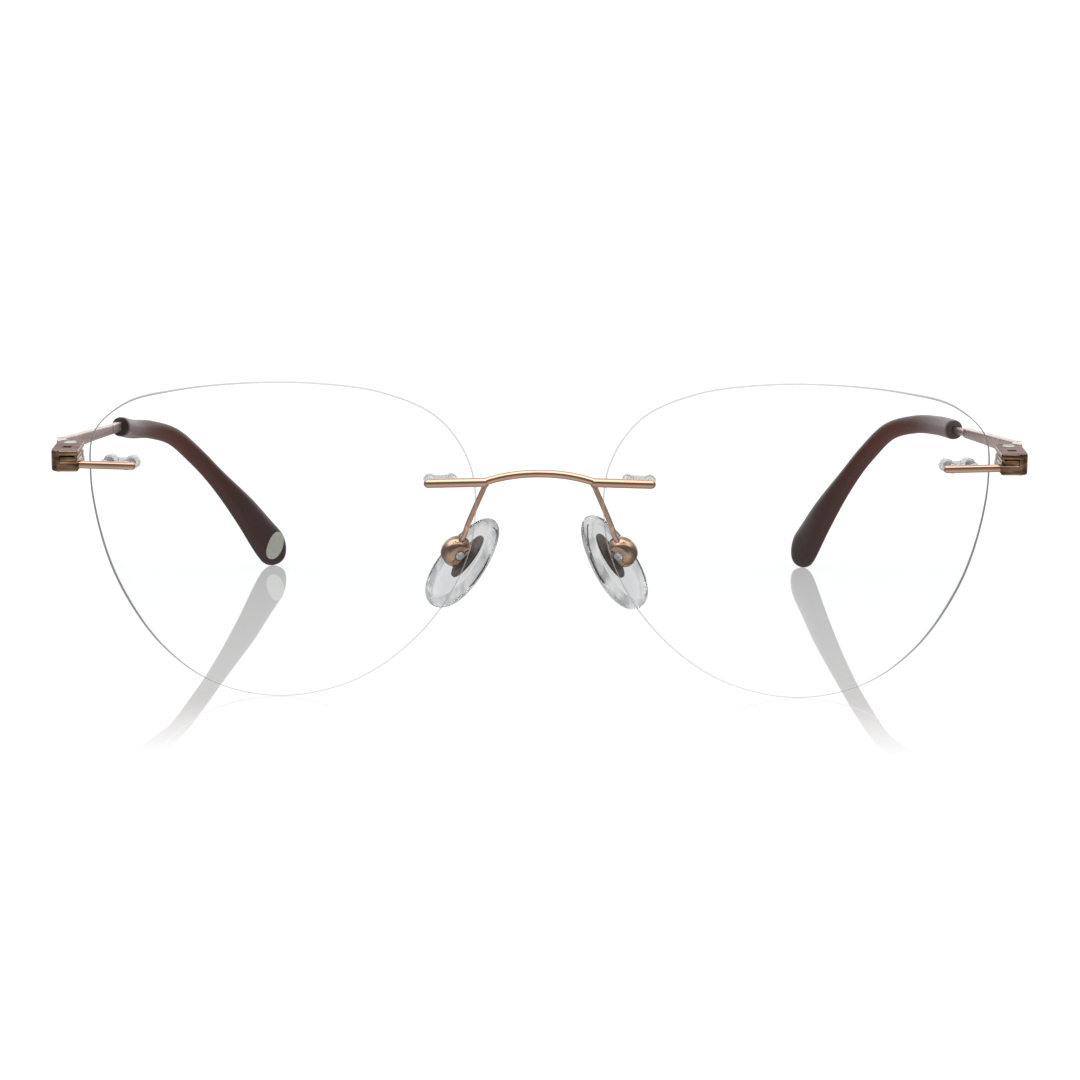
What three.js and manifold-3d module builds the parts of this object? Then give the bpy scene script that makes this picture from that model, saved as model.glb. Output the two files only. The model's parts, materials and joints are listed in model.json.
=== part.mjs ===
// Rimless eyeglasses: drilled lenses held by pins and clear plugs, a wire bridge with adjustable
// nose pads, stacked-knuckle hinges and plastic-sleeved temples.
//
// Millimetres. X points to the right seen from the front, Y points back towards the ears and Z
// points up. The glasses stand open on the lower edges of the lenses and the ends of the tips.
// The origin is the middle of the footprint, on the surface they stand on.

import * as THREE from 'three';
import { mergeVertices } from 'three/addons/utils/BufferGeometryUtils.js';
import Module from 'manifold-3d';

const wasm = await Module();
wasm.setup();

// ---------------------------------------------------------------------------------------------
// Driving dimensions
// ---------------------------------------------------------------------------------------------

const degrees = THREE.MathUtils.degToRad;

// The front stands with its top leaning forward; every piece is laid out in the front's own
// upright frame (x right, y back, z up, zero at the height of the lens centres).
const FRONT_LEAN = degrees(4.5);

// Lenses: 53 mm wide, 17.5 mm apart, curved like a slice of a ball.
const LENS_CENTRE_X = 35;
const LENS_CENTRE_Y = -1.54;
const LENS_WRAP = degrees(3);
const LENS_RADIUS = 120;
const LENS_THICKNESS = 1.9;
const LENS_HOLE = 0.68;
// Edge of a lens from its centre: first number outward from the nose, second number up.
const LENS_OUTLINE = [
  [24.6, 0], [26.05, 8.5], [25.45, 14.3], [21.1, 18.3], [14.2, 20.3], [5, 21.5],
  [-5, 21.6], [-14.2, 20.25], [-21.4, 16.8], [-25.7, 10.1], [-26, 1], [-23.4, -6.3],
  [-17.95, -13.55], [-10, -19.25], [0, -21.7], [9.5, -19.95], [16.6, -14.85], [21.85, -7.2],
];

// Pins through the lenses and the clear plugs that grip them.
const PIN_RADIUS = 0.38;
const PLUG_BORE = 0.42;
const PLUG_NECK = 0.64;
const PLUG_RADIUS = 0.95;
const PLUG_LENGTH = 1.7;
const PLUG_GAP = 0.18;

// Bridge.
const BRIDGE_SITE = { x: 13.1, z: 8.3, pitch: 3.0 };
const BRIDGE_BAR = 0.63;
const BRIDGE_BAR_INNER = -5.6;
const BRIDGE_BAR_OUTER = 1.95;
const BRIDGE_WIRE = 0.54;
const BRIDGE_RISE_Z = 9.43;
const BRIDGE_BOW = 0.9;
// Gap between the front of a lens and the metal that is pinned to it.
const LENS_GAP = 0.09;

// Endpieces and hinges.
const END_SITE = { x: 57.25, z: 10, pitch: 3.1 };
const END_BAR = { high: 0.53, deep: 0.5 };
const END_BAR_INNER = -3.1;
const END_BAR_OUTER = 5.6;
const BLOCK_INNER_X = 62.3;
const BLOCK_OUTER_X = 66;
const BLOCK_FRONT_Y = 2.1;
const BLOCK_BOTTOM_Z = 9.0;
const BLOCK_TOP_Z = 11.9;
const HINGE_X = 64.15;
const HINGE_Y = 8.9;
const LUG_RADIUS = 1.85;
const KNUCKLE_RADIUS = 1.75;
const KNUCKLE_LOW_Z = 9.97;
const KNUCKLE_HIGH_Z = 10.93;
const HINGE_SCREW_RADIUS = 0.5;
const HINGE_SCREW_HEAD = 0.95;
const HINGE_PLAY = 0.04;
// Pocket in the top of the block, and the grooves that split its front: height, width, depth.
const POCKET = { low: [62.95, 4.0, 10.7], high: [65.05, 6.2, 13] };
const GROOVES = [[10.36, 0.1, 0.5], [11.08, 0.16, 0.8]];

// Nose pads: arm, box, soft pad.
const PAD_ARM_RADIUS = 0.38;
const PAD_BOX_CENTRE = [11.3, 7.8, -3.0];
const PAD_BOX_RADIUS = 2.3;
const PAD_BOX_HALF_DEPTH = 1.75;
const PAD_BOX_FACET = 1.35;
const PAD_SCREW_AXIS = [0.35, 0.88, 0.3];
const PAD_SLOT = 0.9;
const PAD_BOX_OPEN = 0.7;
const PAD_BORE = 0.44;
const PAD_SCREW_RADIUS = 0.4;
const PAD_SCREW_HEAD = 0.66;
const PAD_PIVOT_RADIUS = 1.15;
// Middle line of the pad arm from the bridge down to the box.
const PAD_ARM_PATH = [
  [7.3, -0.25, 8], [7.7, 1, 6.9], [8.45, 2.7, 5.1], [9.3, 4.4, 3], [10, 5.7, 1], [10.6, 6.7, -0.9],
];
const PAD_DROP = 2.17;
const PAD_LOWER = 0.87;
const PAD_LONG_AXIS = [-0.55, 0.2, 0.81];
const PAD_FACE_NORMAL = [0.665, -0.57, 0.482];
const PAD_LENGTH = 14;
const PAD_WIDTH = 8;
const PAD_THICKNESS = 2.4;
const PAD_TAPER = 0.15;
const PAD_RIM = 1.15;
const PAD_BEVEL = 1.0;
// Stiffener plate in the pad: half width and half length, height of its middle on the pad, and
// the level of its face above the pad's middle plane.
const CORE_HALF = [2.1, 3.9];
const CORE_MIDDLE = 0.9;
const CORE_TOP = 0.75;
const CORE_THICKNESS = 0.6;
// The pads rock on their screws and rest a little turned: positive brings the lower end inward.
const PAD_TURN = { left: degrees(-3.5), right: degrees(3.5) };

// Temples: points on the middle of the side bar and of the sleeve, standing on the table.
// x outward, y back from the line where the lenses touch the table, z above the table.
const TEMPLE_BAR_HALF_WIDTH = 0.52;
const TEMPLE_BAR_HALF_HEIGHT = 1.1;
const TEMPLE_BAR_NARROWING = 0.33;
const TEMPLE_BAR_PATH = [
  [66.1, 10.5, 33.1], [66.6, 16, 32.65], [67.4, 35, 31.3], [67.7, 55, 30.05], [67.4, 74, 28.95],
];
// The two tips are bent slightly differently at the elbow, as worn pairs are.
const TIP_PATHS = {
  left: [
    [67.4, 74, 28.95], [67.05, 83, 28.5], [66.08, 91, 27.33], [63.82, 98, 26.53],
    [60.89, 103.4, 24.92], [57.69, 108.8, 21.12], [53.99, 114.2, 15.94], [50.28, 119.6, 10.27],
    [47.16, 124.8, 4.71], [44.81, 128.4, 1.01],
  ],
  right: [
    [67.4, 74, 28.95], [66.75, 83, 28.5], [64.88, 91, 28.44], [61.96, 98, 27.9],
    [58.59, 103.4, 26.28], [55.29, 108.8, 21.9], [51.91, 114.2, 15.98], [49.11, 119.6, 10.14],
    [46.93, 124.8, 4.64], [45.32, 128.4, 0.89],
  ],
};
const CORE_HALF_WIDTH = 0.4;
const CORE_HALF_HEIGHT = 0.6;
const CORE_GAP = 0.04;
const CORE_POWER = 2.5;
// Shares of the tip's path: where the sleeve starts, the core wire ends and the badge lies.
const SLEEVE_START = 0.135;
const CORE_END = 0.84;
const BADGE_AT = 0.94;
const BADGE_RADIUS = 2.55;
const BADGE_DEPTH = 0.35;

// ---------------------------------------------------------------------------------------------
// Materials
// ---------------------------------------------------------------------------------------------

function material(color, roughness, metalness, opacity = 1) {
  return new THREE.MeshStandardMaterial({
    color, roughness, metalness, opacity, transparent: opacity < 1,
  });
}

const roseGold = () => material(0xc39a7c, 0.22, 1);
const paleRose = () => material(0xc9b4ae, 0.35, 1);
const silver = () => material(0xb9b9b6, 0.3, 1);
const lensClear = () => material(0xf4f8f8, 0.03, 0, 0.2);
const plugClear = () => material(0xe9eceb, 0.1, 0, 0.4);
const padClear = () => material(0xdfe2e2, 0.15, 0, 0.45);
const coreTaupe = () => material(0x7f766d, 0.5, 0);
const tipBrown = () => material(0x4a2f2b, 0.25, 0, 0.9);
const badgeGrey = () => material(0xb9bdb4, 0.4, 0);

// ---------------------------------------------------------------------------------------------
// Solids
// ---------------------------------------------------------------------------------------------

const vector = (point) => new THREE.Vector3(...point);

// Six times the volume enclosed by the faces: negative when they point inward.
function signedVolume(geometry) {
  const at = geometry.getAttribute('position');
  const index = geometry.getIndex();
  const a = new THREE.Vector3();
  const b = new THREE.Vector3();
  const c = new THREE.Vector3();
  let total = 0;
  for (let i = 0; i < index.count; i += 3) {
    a.fromBufferAttribute(at, index.getX(i));
    b.fromBufferAttribute(at, index.getX(i + 1));
    c.fromBufferAttribute(at, index.getX(i + 2));
    total += a.dot(b.cross(c));
  }
  return total;
}

// Merges a closed geometry's shared vertices and turns its faces outward.
function closed(geometry) {
  const bare = geometry.clone();
  bare.deleteAttribute('normal');
  bare.deleteAttribute('uv');
  const merged = mergeVertices(bare, 1e-4);
  if (signedVolume(merged) < 0) {
    merged.setIndex([...merged.getIndex().array].reverse());
  }
  return merged;
}

function solid(geometry) {
  const merged = closed(geometry);
  return new wasm.Manifold(new wasm.Mesh({
    numProp: 3,
    vertProperties: new Float32Array(merged.getAttribute('position').array),
    triVerts: new Uint32Array(merged.getIndex().array),
  }));
}

function geometryOf(manifold) {
  const mesh = manifold.getMesh();
  const geometry = new THREE.BufferGeometry();
  geometry.setAttribute('position', new THREE.BufferAttribute(mesh.vertProperties, 3));
  geometry.setIndex(new THREE.BufferAttribute(mesh.triVerts, 1));
  return geometry;
}

const join = (...parts) => parts.reduce((whole, part) => whole.add(part));

const cut = (whole, ...tools) => tools.reduce((rest, tool) => rest.subtract(tool), whole);

function moved(geometry, matrix) {
  return geometry.clone().applyMatrix4(matrix);
}

// Cylinder along Y from y0 to y1, in the frame of `matrix`.
function rod(radius, y0, y1, x = 0, z = 0, matrix = new THREE.Matrix4(), sides = 16) {
  const geometry = new THREE.CylinderGeometry(radius, radius, y1 - y0, sides);
  geometry.translate(x, (y0 + y1) / 2, z);
  return solid(moved(geometry, matrix));
}

// Upright cylinder between two heights.
function post(radius, z0, z1, x, y, sides = 20) {
  const geometry = new THREE.CylinderGeometry(radius, radius, z1 - z0, sides);
  geometry.rotateX(Math.PI / 2);
  geometry.translate(x, y, (z0 + z1) / 2);
  return solid(geometry);
}

// Box between two corners, in the frame of `matrix`.
function block(low, high, matrix = new THREE.Matrix4()) {
  const size = high.map((value, axis) => value - low[axis]);
  const geometry = new THREE.BoxGeometry(...size);
  geometry.translate(...high.map((value, axis) => (value + low[axis]) / 2));
  return solid(moved(geometry, matrix));
}

// Tube of round section along a curve.
function wire(curve, radius, steps, sides = 10) {
  const section = new THREE.Shape();
  section.absarc(0, 0, radius, 0, 2 * Math.PI);
  return solid(new THREE.ExtrudeGeometry(section, {
    steps, curveSegments: sides / 2, extrudePath: curve, bevelEnabled: false,
  }));
}

function ball(radius, centre, sides = 12) {
  const geometry = new THREE.SphereGeometry(radius, sides, sides / 2);
  geometry.translate(...centre);
  return solid(geometry);
}

// Bar along a stretch of a curve, whose section stays upright: size(t) gives the section's half
// width and half height, and power sets its corners (2 is an ellipse, larger is boxier). The
// steps are closest together at the far end.
function bar(curve, size, steps, sides, power = 2, from = 0, to = 1) {
  const geometry = new THREE.CylinderGeometry(1, 1, 1, sides, steps);
  const at = geometry.getAttribute('position');
  const up = new THREE.Vector3(0, 0, 1);
  const across = new THREE.Vector3();
  const over = new THREE.Vector3();
  for (let i = 0; i < at.count; i += 1) {
    const share = Math.sin(THREE.MathUtils.clamp(at.getY(i) + 0.5, 0, 1) * Math.PI / 2);
    const t = from + (to - from) * share;
    const reach = Math.hypot(at.getX(i), at.getZ(i));
    const turn = Math.atan2(at.getZ(i), at.getX(i));
    const along = curve.getTangentAt(t);
    across.crossVectors(along, up).normalize();
    over.crossVectors(across, along);
    const [halfWidth, halfHeight] = size(t);
    const rounded = (value) => Math.sign(value) * Math.abs(value) ** (2 / power);
    const point = curve.getPointAt(t)
      .addScaledVector(across, reach * halfWidth * rounded(Math.cos(turn)))
      .addScaledVector(over, reach * halfHeight * rounded(Math.sin(turn)));
    at.setXYZ(i, point.x, point.y, point.z);
  }
  return solid(geometry);
}

// Frame with the given X, Y and Z directions.
function frameOf(origin, x, y, z) {
  return new THREE.Matrix4().makeBasis(x, y, z).setPosition(...origin);
}

// ---------------------------------------------------------------------------------------------
// Lens surface and the frames that sit on it (right side)
// ---------------------------------------------------------------------------------------------

const BALL_X = LENS_CENTRE_X - LENS_RADIUS * Math.sin(LENS_WRAP);
const BALL_Y = LENS_CENTRE_Y + LENS_RADIUS * Math.cos(LENS_WRAP);

const lensFrontY = (x, z) => BALL_Y - Math.sqrt(LENS_RADIUS ** 2 - (x - BALL_X) ** 2 - z ** 2);

// Frame on the front of the right lens: X along the surface outward, Y straight into the lens.
function siteFrame(site) {
  const turn = Math.asin((site.x - BALL_X) / LENS_RADIUS);
  const matrix = new THREE.Matrix4().makeRotationZ(turn);
  return matrix.setPosition(site.x, lensFrontY(site.x, site.z), site.z);
}

const bridgeFrame = siteFrame(BRIDGE_SITE);
const endFrame = siteFrame(END_SITE);

const pinOffsets = (site) => [-site.pitch / 2, site.pitch / 2];

// Table coordinates (y from the line of contact, z from the table) to the front's own frame.
const LENS_LOWEST_Z = Math.min(...LENS_OUTLINE.map(([, z]) => z));
const contact = new THREE.Vector3(0, lensFrontY(LENS_CENTRE_X, LENS_LOWEST_Z), LENS_LOWEST_Z);

function fromTable([x, y, z]) {
  const point = new THREE.Vector3(0, y, z).applyAxisAngle(new THREE.Vector3(1, 0, 0), -FRONT_LEAN);
  return point.add(contact).setX(x);
}

// ---------------------------------------------------------------------------------------------
// Lenses and plugs
// ---------------------------------------------------------------------------------------------

function outlineShape(points, count) {
  const curve = new THREE.CatmullRomCurve3(
    points.map(([x, y]) => new THREE.Vector3(x, y, 0)), true, 'centripetal');
  const shape = new THREE.Shape();
  shape.setFromPoints(curve.getSpacedPoints(count).slice(0, count));
  return shape;
}

// Ball-shaped shell as thick as the lens, wide enough to cut it from.
function lensShell() {
  const rim = 33;
  const rings = 5;
  const profile = [];
  const depth = (radius, r) => LENS_RADIUS - Math.sqrt(radius ** 2 - r ** 2);
  for (let i = 0; i <= rings; i += 1) {
    const r = (rim * i) / rings;
    profile.push(new THREE.Vector2(r, depth(LENS_RADIUS, r)));
  }
  for (let i = rings; i >= 0; i -= 1) {
    const r = (rim * i) / rings;
    profile.push(new THREE.Vector2(r, depth(LENS_RADIUS - LENS_THICKNESS, r)));
  }
  return solid(new THREE.LatheGeometry(profile, 28));
}

function lens() {
  const depth = 14;
  const slab = new THREE.ExtrudeGeometry(outlineShape(LENS_OUTLINE, 56), {
    depth, steps: 1, bevelEnabled: false,
  });
  slab.rotateX(Math.PI / 2);
  slab.translate(0, depth - 3, 0);
  const blank = geometryOf(solid(slab).intersect(lensShell()));
  const place = new THREE.Matrix4().makeRotationZ(LENS_WRAP);
  place.setPosition(LENS_CENTRE_X, LENS_CENTRE_Y, 0);
  const holes = [[BRIDGE_SITE, bridgeFrame], [END_SITE, endFrame]].flatMap(
    ([site, frame]) => pinOffsets(site).map((x) => rod(LENS_HOLE, -2, 5, x, 0, frame)));
  return cut(solid(moved(blank, place)), ...holes);
}

// Two barrels joined by a web, behind the lens, with necks that line the lens holes.
function bushing(site, frame) {
  const base = LENS_THICKNESS + PLUG_GAP;
  const round = 0.45;
  const barrels = pinOffsets(site).map((x) => {
    const profile = [[0, 0.05], [PLUG_NECK, 0.05], [PLUG_NECK, base], [PLUG_RADIUS, base],
      [PLUG_RADIUS, base + PLUG_LENGTH - round],
      [PLUG_RADIUS - 0.3 * round, base + PLUG_LENGTH - 0.3 * round],
      [PLUG_RADIUS - round, base + PLUG_LENGTH], [0, base + PLUG_LENGTH]];
    const barrel = new THREE.LatheGeometry(profile.map(([r, y]) => new THREE.Vector2(r, y)), 14);
    barrel.translate(x, 0, 0);
    return solid(moved(barrel, frame));
  });
  const web = block([-site.pitch / 2, base, -0.6], [site.pitch / 2, base + 1.25, 0.6], frame);
  const bores = pinOffsets(site).map((x) => rod(PLUG_BORE, -1, 6, x, 0, frame, 10));
  return cut(join(...barrels, web), ...bores);
}

function pins(site, frame) {
  const end = LENS_THICKNESS + PLUG_GAP + PLUG_LENGTH - 0.15;
  return pinOffsets(site).map((x) => rod(PIN_RADIUS, -0.5, end, x, 0, frame, 10));
}

// ---------------------------------------------------------------------------------------------
// Bridge and pad arms
// ---------------------------------------------------------------------------------------------

function bridgeHalf() {
  const y = -BRIDGE_BAR - LENS_GAP;
  const line = (x) => new THREE.Vector3(x, y, 0).applyMatrix4(bridgeFrame);
  const inner = line(BRIDGE_BAR_INNER);
  const outer = line(BRIDGE_BAR_OUTER);
  const rail = wire(new THREE.LineCurve3(inner, outer), BRIDGE_BAR, 1);
  const ends = [inner, outer].map((end) => ball(BRIDGE_BAR, end.toArray()));
  return join(rail, ...ends, ...pins(BRIDGE_SITE, bridgeFrame));
}

function bridge() {
  const half = bridgeHalf();
  const other = solid(geometryOf(half).scale(-1, 1, 1));
  const end = new THREE.Vector3(BRIDGE_BAR_INNER - 0.3, -BRIDGE_BAR - LENS_GAP, -0.1);
  end.applyMatrix4(bridgeFrame);
  const middle = new THREE.Vector3(0, end.y + BRIDGE_BOW, 2 * BRIDGE_RISE_Z - end.z);
  const arch = new THREE.QuadraticBezierCurve3(
    end.clone().setX(-end.x), middle, end);
  return join(half, other, wire(arch, BRIDGE_WIRE, 14));
}

const screwAxis = vector(PAD_SCREW_AXIS).normalize();
const padLong = vector(PAD_LONG_AXIS).normalize();
const padNormal = vector(PAD_FACE_NORMAL).projectOnPlane(padLong).normalize();

// Frame at the middle of the pad box: X towards the pad, Y back along the screw, Z upward.
function boxFrame() {
  const towards = padNormal.clone().negate();
  towards.addScaledVector(screwAxis, -towards.dot(screwAxis)).normalize();
  const up = new THREE.Vector3().crossVectors(towards, screwAxis);
  return frameOf(PAD_BOX_CENTRE, towards, screwAxis, up);
}

// Frame at the middle of the pad: X across it, Y out of its front face, Z along it.
function padFrame() {
  const across = new THREE.Vector3().crossVectors(padNormal, padLong);
  const centre = vector(PAD_BOX_CENTRE).addScaledVector(padNormal, -PAD_DROP)
    .addScaledVector(padLong, -PAD_LOWER);
  return frameOf(centre.toArray(), across, padNormal, padLong);
}

// The pad's rocking about its screw, as a movement of the front's own frame.
function rocked(angle) {
  const centre = vector(PAD_BOX_CENTRE);
  const matrix = new THREE.Matrix4().makeTranslation(...centre.toArray());
  matrix.multiply(new THREE.Matrix4().makeRotationAxis(screwAxis, angle));
  return matrix.multiply(new THREE.Matrix4().makeTranslation(...centre.negate().toArray()));
}

function padArm(bridgeSolid) {
  const frame = boxFrame();
  const root = new THREE.Vector3(-1.4, -0.55, 0.9).applyMatrix4(frame);
  const path = new THREE.CatmullRomCurve3([...PAD_ARM_PATH.map(vector), root]);
  const dome = new THREE.SphereGeometry(PAD_BOX_RADIUS, 18, 10);
  dome.scale(1, PAD_BOX_HALF_DEPTH / PAD_BOX_RADIUS, 1);
  const box = solid(moved(dome, frame));
  const facet = block([-4, -4, -4], [4, -PAD_BOX_FACET, 4], frame);
  const slot = block([-1.3, -PAD_SLOT / 2, -4], [4, PAD_SLOT / 2, 4], frame);
  const mouth = block([PAD_BOX_OPEN, -4, -4], [4, 4, 4], frame);
  const bore = rod(PAD_BORE, -4, PAD_BOX_HALF_DEPTH - 0.35, 0, 0, frame, 12);
  const sink = rod(PAD_SCREW_HEAD + 0.04, -4, -PAD_BOX_FACET + 0.4, 0, 0, frame, 16);
  const whole = join(wire(path, PAD_ARM_RADIUS, 16, 8), box);
  return cut(whole, facet, slot, mouth, bore, sink, bridgeSolid);
}

function padScrew() {
  const frame = boxFrame();
  const face = -PAD_BOX_FACET;
  const head = rod(PAD_SCREW_HEAD, face - 0.05, face + 0.36, 0, 0, frame, 16);
  const shank = rod(PAD_SCREW_RADIUS, face + 0.3, PAD_BOX_HALF_DEPTH - 0.4, 0, 0, frame, 12);
  const slot = block([-1, face - 1, -0.08], [1, face + 0.12, 0.08], frame);
  return cut(join(head, shank), slot);
}

// ---------------------------------------------------------------------------------------------
// Nose pads
// ---------------------------------------------------------------------------------------------

// Oval that is wider at its lower end by the share `taper`.
function ovalShape(halfWidth, halfLength, sides, taper = 0) {
  const points = [];
  for (let i = 0; i < sides; i += 1) {
    const turn = (2 * Math.PI * i) / sides;
    const width = halfWidth * (1 - taper * Math.sin(turn));
    points.push(new THREE.Vector2(width * Math.cos(turn), halfLength * Math.sin(turn)));
  }
  return new THREE.Shape(points);
}

// Oval plate: XZ is its face, and it reaches from y0 to y1.
function ovalPlate([halfWidth, halfLength], [y0, y1], frame, middleZ = 0, taper = 0) {
  const plate = new THREE.ExtrudeGeometry(ovalShape(halfWidth, halfLength, 28, taper), {
    depth: y1 - y0, bevelEnabled: false,
  });
  plate.rotateX(Math.PI / 2);
  plate.translate(0, y1, middleZ);
  return solid(moved(plate, frame));
}

function nosePad() {
  const bevel = PAD_BEVEL;
  const flat = PAD_THICKNESS - 2 * bevel;
  const body = new THREE.ExtrudeGeometry(
    ovalShape(PAD_WIDTH / 2 - bevel, PAD_LENGTH / 2 - bevel, 28, PAD_TAPER), {
      depth: flat, bevelEnabled: true, bevelThickness: bevel,
      bevelSize: bevel, bevelSegments: 3,
    });
  body.rotateX(Math.PI / 2);
  body.translate(0, flat / 2, 0);
  const frame = padFrame();
  const top = PAD_THICKNESS / 2;
  const dish = ovalPlate([PAD_WIDTH / 2 - PAD_RIM, PAD_LENGTH / 2 - PAD_RIM], [CORE_TOP, top + 1],
    frame, 0, PAD_TAPER);
  const gap = 0.03;
  const pocket = ovalPlate(CORE_HALF.map((half) => half + gap),
    [CORE_TOP - CORE_THICKNESS - gap, top + 1], frame, CORE_MIDDLE);
  return cut(solid(moved(body, frame)), dish, pocket);
}

// Stiffener plate let into the pad, with the lug that pivots in the box.
function padCore() {
  const pad = padFrame();
  const box = boxFrame();
  const plate = ovalPlate(CORE_HALF, [CORE_TOP - CORE_THICKNESS, CORE_TOP], pad, CORE_MIDDLE);
  const half = PAD_SLOT / 2 - 0.05;
  const eye = rod(PAD_PIVOT_RADIUS, -half, half, 0, 0, box, 20);
  const reach = block([0, -half, -PAD_PIVOT_RADIUS], [5, half, PAD_PIVOT_RADIUS], box);
  const below = block([-9, -9, -9], [9, CORE_TOP - 0.05, 9], pad);
  const lug = cut(join(eye, reach), below);
  return cut(join(plate, lug), rod(PAD_BORE, -2, 2, 0, 0, box, 12));
}

// ---------------------------------------------------------------------------------------------
// Endpieces and hinge screws
// ---------------------------------------------------------------------------------------------

// Bar along the front of the lens, from a rounded end into the hinge block.
function endBar() {
  const at = (x, z) => new THREE.Vector3(x, -END_BAR.deep - LENS_GAP, z).applyMatrix4(endFrame);
  const line = new THREE.LineCurve3(at(END_BAR_INNER, 0.08), at(END_BAR_OUTER, -0.1));
  const rounding = 0.07;
  const tip = (t) => Math.sqrt(Math.max(0.02, 1 - Math.max(0, 1 - t / rounding) ** 2));
  return bar(line, (t) => [END_BAR.deep * tip(t), END_BAR.high * tip(t)], 8, 12, 2.6);
}

// Block whose rear end is round about the hinge axis.
function hingeBlock() {
  const plan = new THREE.Shape();
  const half = (BLOCK_OUTER_X - BLOCK_INNER_X) / 2;
  const [sharp, soft] = [0.5, 1.3];
  plan.moveTo(HINGE_X + half, HINGE_Y);
  plan.absarc(HINGE_X, HINGE_Y, LUG_RADIUS, 0, Math.PI);
  plan.absarc(BLOCK_INNER_X + sharp, BLOCK_FRONT_Y + sharp, sharp, Math.PI, 1.5 * Math.PI);
  plan.absarc(BLOCK_OUTER_X - soft, BLOCK_FRONT_Y + soft, soft, 1.5 * Math.PI, 2 * Math.PI);
  const bevel = 0.15;
  const body = new THREE.ExtrudeGeometry(plan, {
    depth: BLOCK_TOP_Z - BLOCK_BOTTOM_Z - 2 * bevel, curveSegments: 5, bevelEnabled: true,
    bevelThickness: bevel, bevelSize: bevel, bevelOffset: -bevel, bevelSegments: 1,
  });
  body.translate(0, 0, BLOCK_BOTTOM_Z + bevel);
  return solid(body);
}

function endpiece() {
  const inner = BLOCK_INNER_X - 2;
  const outer = BLOCK_OUTER_X + 2;
  const gapFront = HINGE_Y - LUG_RADIUS;
  const fork = block([inner, gapFront, KNUCKLE_LOW_Z - HINGE_PLAY],
    [outer, HINGE_Y + 5, KNUCKLE_HIGH_Z + HINGE_PLAY]);
  const grooves = GROOVES.map(([z, tall, deep]) => join(
    block([inner, 0, z - tall / 2], [BLOCK_OUTER_X - 1.4, BLOCK_FRONT_Y + deep, z + tall / 2]),
    block([inner, 0, z - tall / 2], [BLOCK_INNER_X + deep * 0.6, 6.5, z + tall / 2])));
  const bore = post(HINGE_SCREW_RADIUS + 0.03, BLOCK_BOTTOM_Z - 1, BLOCK_TOP_Z + 1,
    HINGE_X, HINGE_Y);
  const sink = post(HINGE_SCREW_HEAD + 0.03, BLOCK_TOP_Z - 0.35, BLOCK_TOP_Z + 1,
    HINGE_X, HINGE_Y);
  const shaped = cut(hingeBlock(), fork, block(POCKET.low, POCKET.high), ...grooves);
  return cut(join(shaped, endBar(), ...pins(END_SITE, endFrame)), bore, sink);
}

function hingeScrew() {
  const top = BLOCK_TOP_Z - 0.02;
  const head = post(HINGE_SCREW_HEAD, BLOCK_TOP_Z - 0.32, top, HINGE_X, HINGE_Y);
  const shank = post(HINGE_SCREW_RADIUS, BLOCK_BOTTOM_Z + 0.05, top - 0.1, HINGE_X, HINGE_Y);
  const slot = block([HINGE_X - 2, HINGE_Y - 0.12, top - 0.16], [HINGE_X + 2, HINGE_Y + 0.12, 13]);
  return cut(join(head, shank), slot);
}

// ---------------------------------------------------------------------------------------------
// Temples and tips
// ---------------------------------------------------------------------------------------------

const tablePath = (points) => new THREE.CatmullRomCurve3(points.map(fromTable), false, 'chordal');

// Plate between two heights with the given corners in plan.
function plate(corners, z0, z1) {
  const plan = new THREE.Shape(corners.map(([x, y]) => new THREE.Vector2(x, y)));
  const geometry = new THREE.ExtrudeGeometry(plan, { depth: z1 - z0, bevelEnabled: false });
  geometry.translate(0, 0, z0);
  return solid(geometry);
}

// Side bar, the knuckle that turns between the lugs, and the wire that carries the tip.
function temple(tipPath) {
  const path = tablePath(TEMPLE_BAR_PATH);
  const side = bar(path, (t) => [
    TEMPLE_BAR_HALF_WIDTH, TEMPLE_BAR_HALF_HEIGHT - TEMPLE_BAR_NARROWING * t], 14, 12, 5);
  const eye = post(KNUCKLE_RADIUS, KNUCKLE_LOW_Z, KNUCKLE_HIGH_Z, HINGE_X, HINGE_Y);
  const neck = plate([
    [HINGE_X - 1.1, HINGE_Y + 0.2], [HINGE_X + 1.5, HINGE_Y], [66.5, 11.6], [66.5, 13.6],
    [65.6, 13.6],
  ], KNUCKLE_LOW_Z, KNUCKLE_HIGH_Z);
  const shoulder = plate([
    [64.2, 11], [65.5, 10.55], [66.45, 11.6], [66.75, 14.4], [65.85, 14.4], [65, 12.2],
  ], 9.05, 11.55);
  const room = cut(post(LUG_RADIUS + 0.12, 8, 13, HINGE_X, HINGE_Y),
    post(5, KNUCKLE_LOW_Z, KNUCKLE_HIGH_Z, HINGE_X, HINGE_Y));
  const bore = post(HINGE_SCREW_RADIUS + HINGE_PLAY, 8, 13, HINGE_X, HINGE_Y);
  const core = bar(tablePath(tipPath), coreSize(0), 20, 8, CORE_POWER, 0, CORE_END);
  const metal = join(cut(join(side, shoulder), room), neck, eye);
  return cut(join(metal, core), bore);
}

function coreSize(gap) {
  return () => [CORE_HALF_WIDTH + gap, CORE_HALF_HEIGHT + gap];
}

// Half width and half height of the sleeve: it swells towards its end, which is round.
function tipSize(t) {
  const bend = THREE.MathUtils.smoothstep(t, 0.1, 0.6);
  const swell = THREE.MathUtils.smoothstep(t, 0.6, 0.96);
  const past = Math.min(0.9999, Math.max(0, (t - 0.94) / 0.06));
  const width = (1.2 + 0.1 * bend) * (1 - past ** 4) ** 0.25;
  return [width, (1.3 + 0.24 * bend + 1.79 * swell) * (1 - past ** 2) ** 0.5];
}

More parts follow.
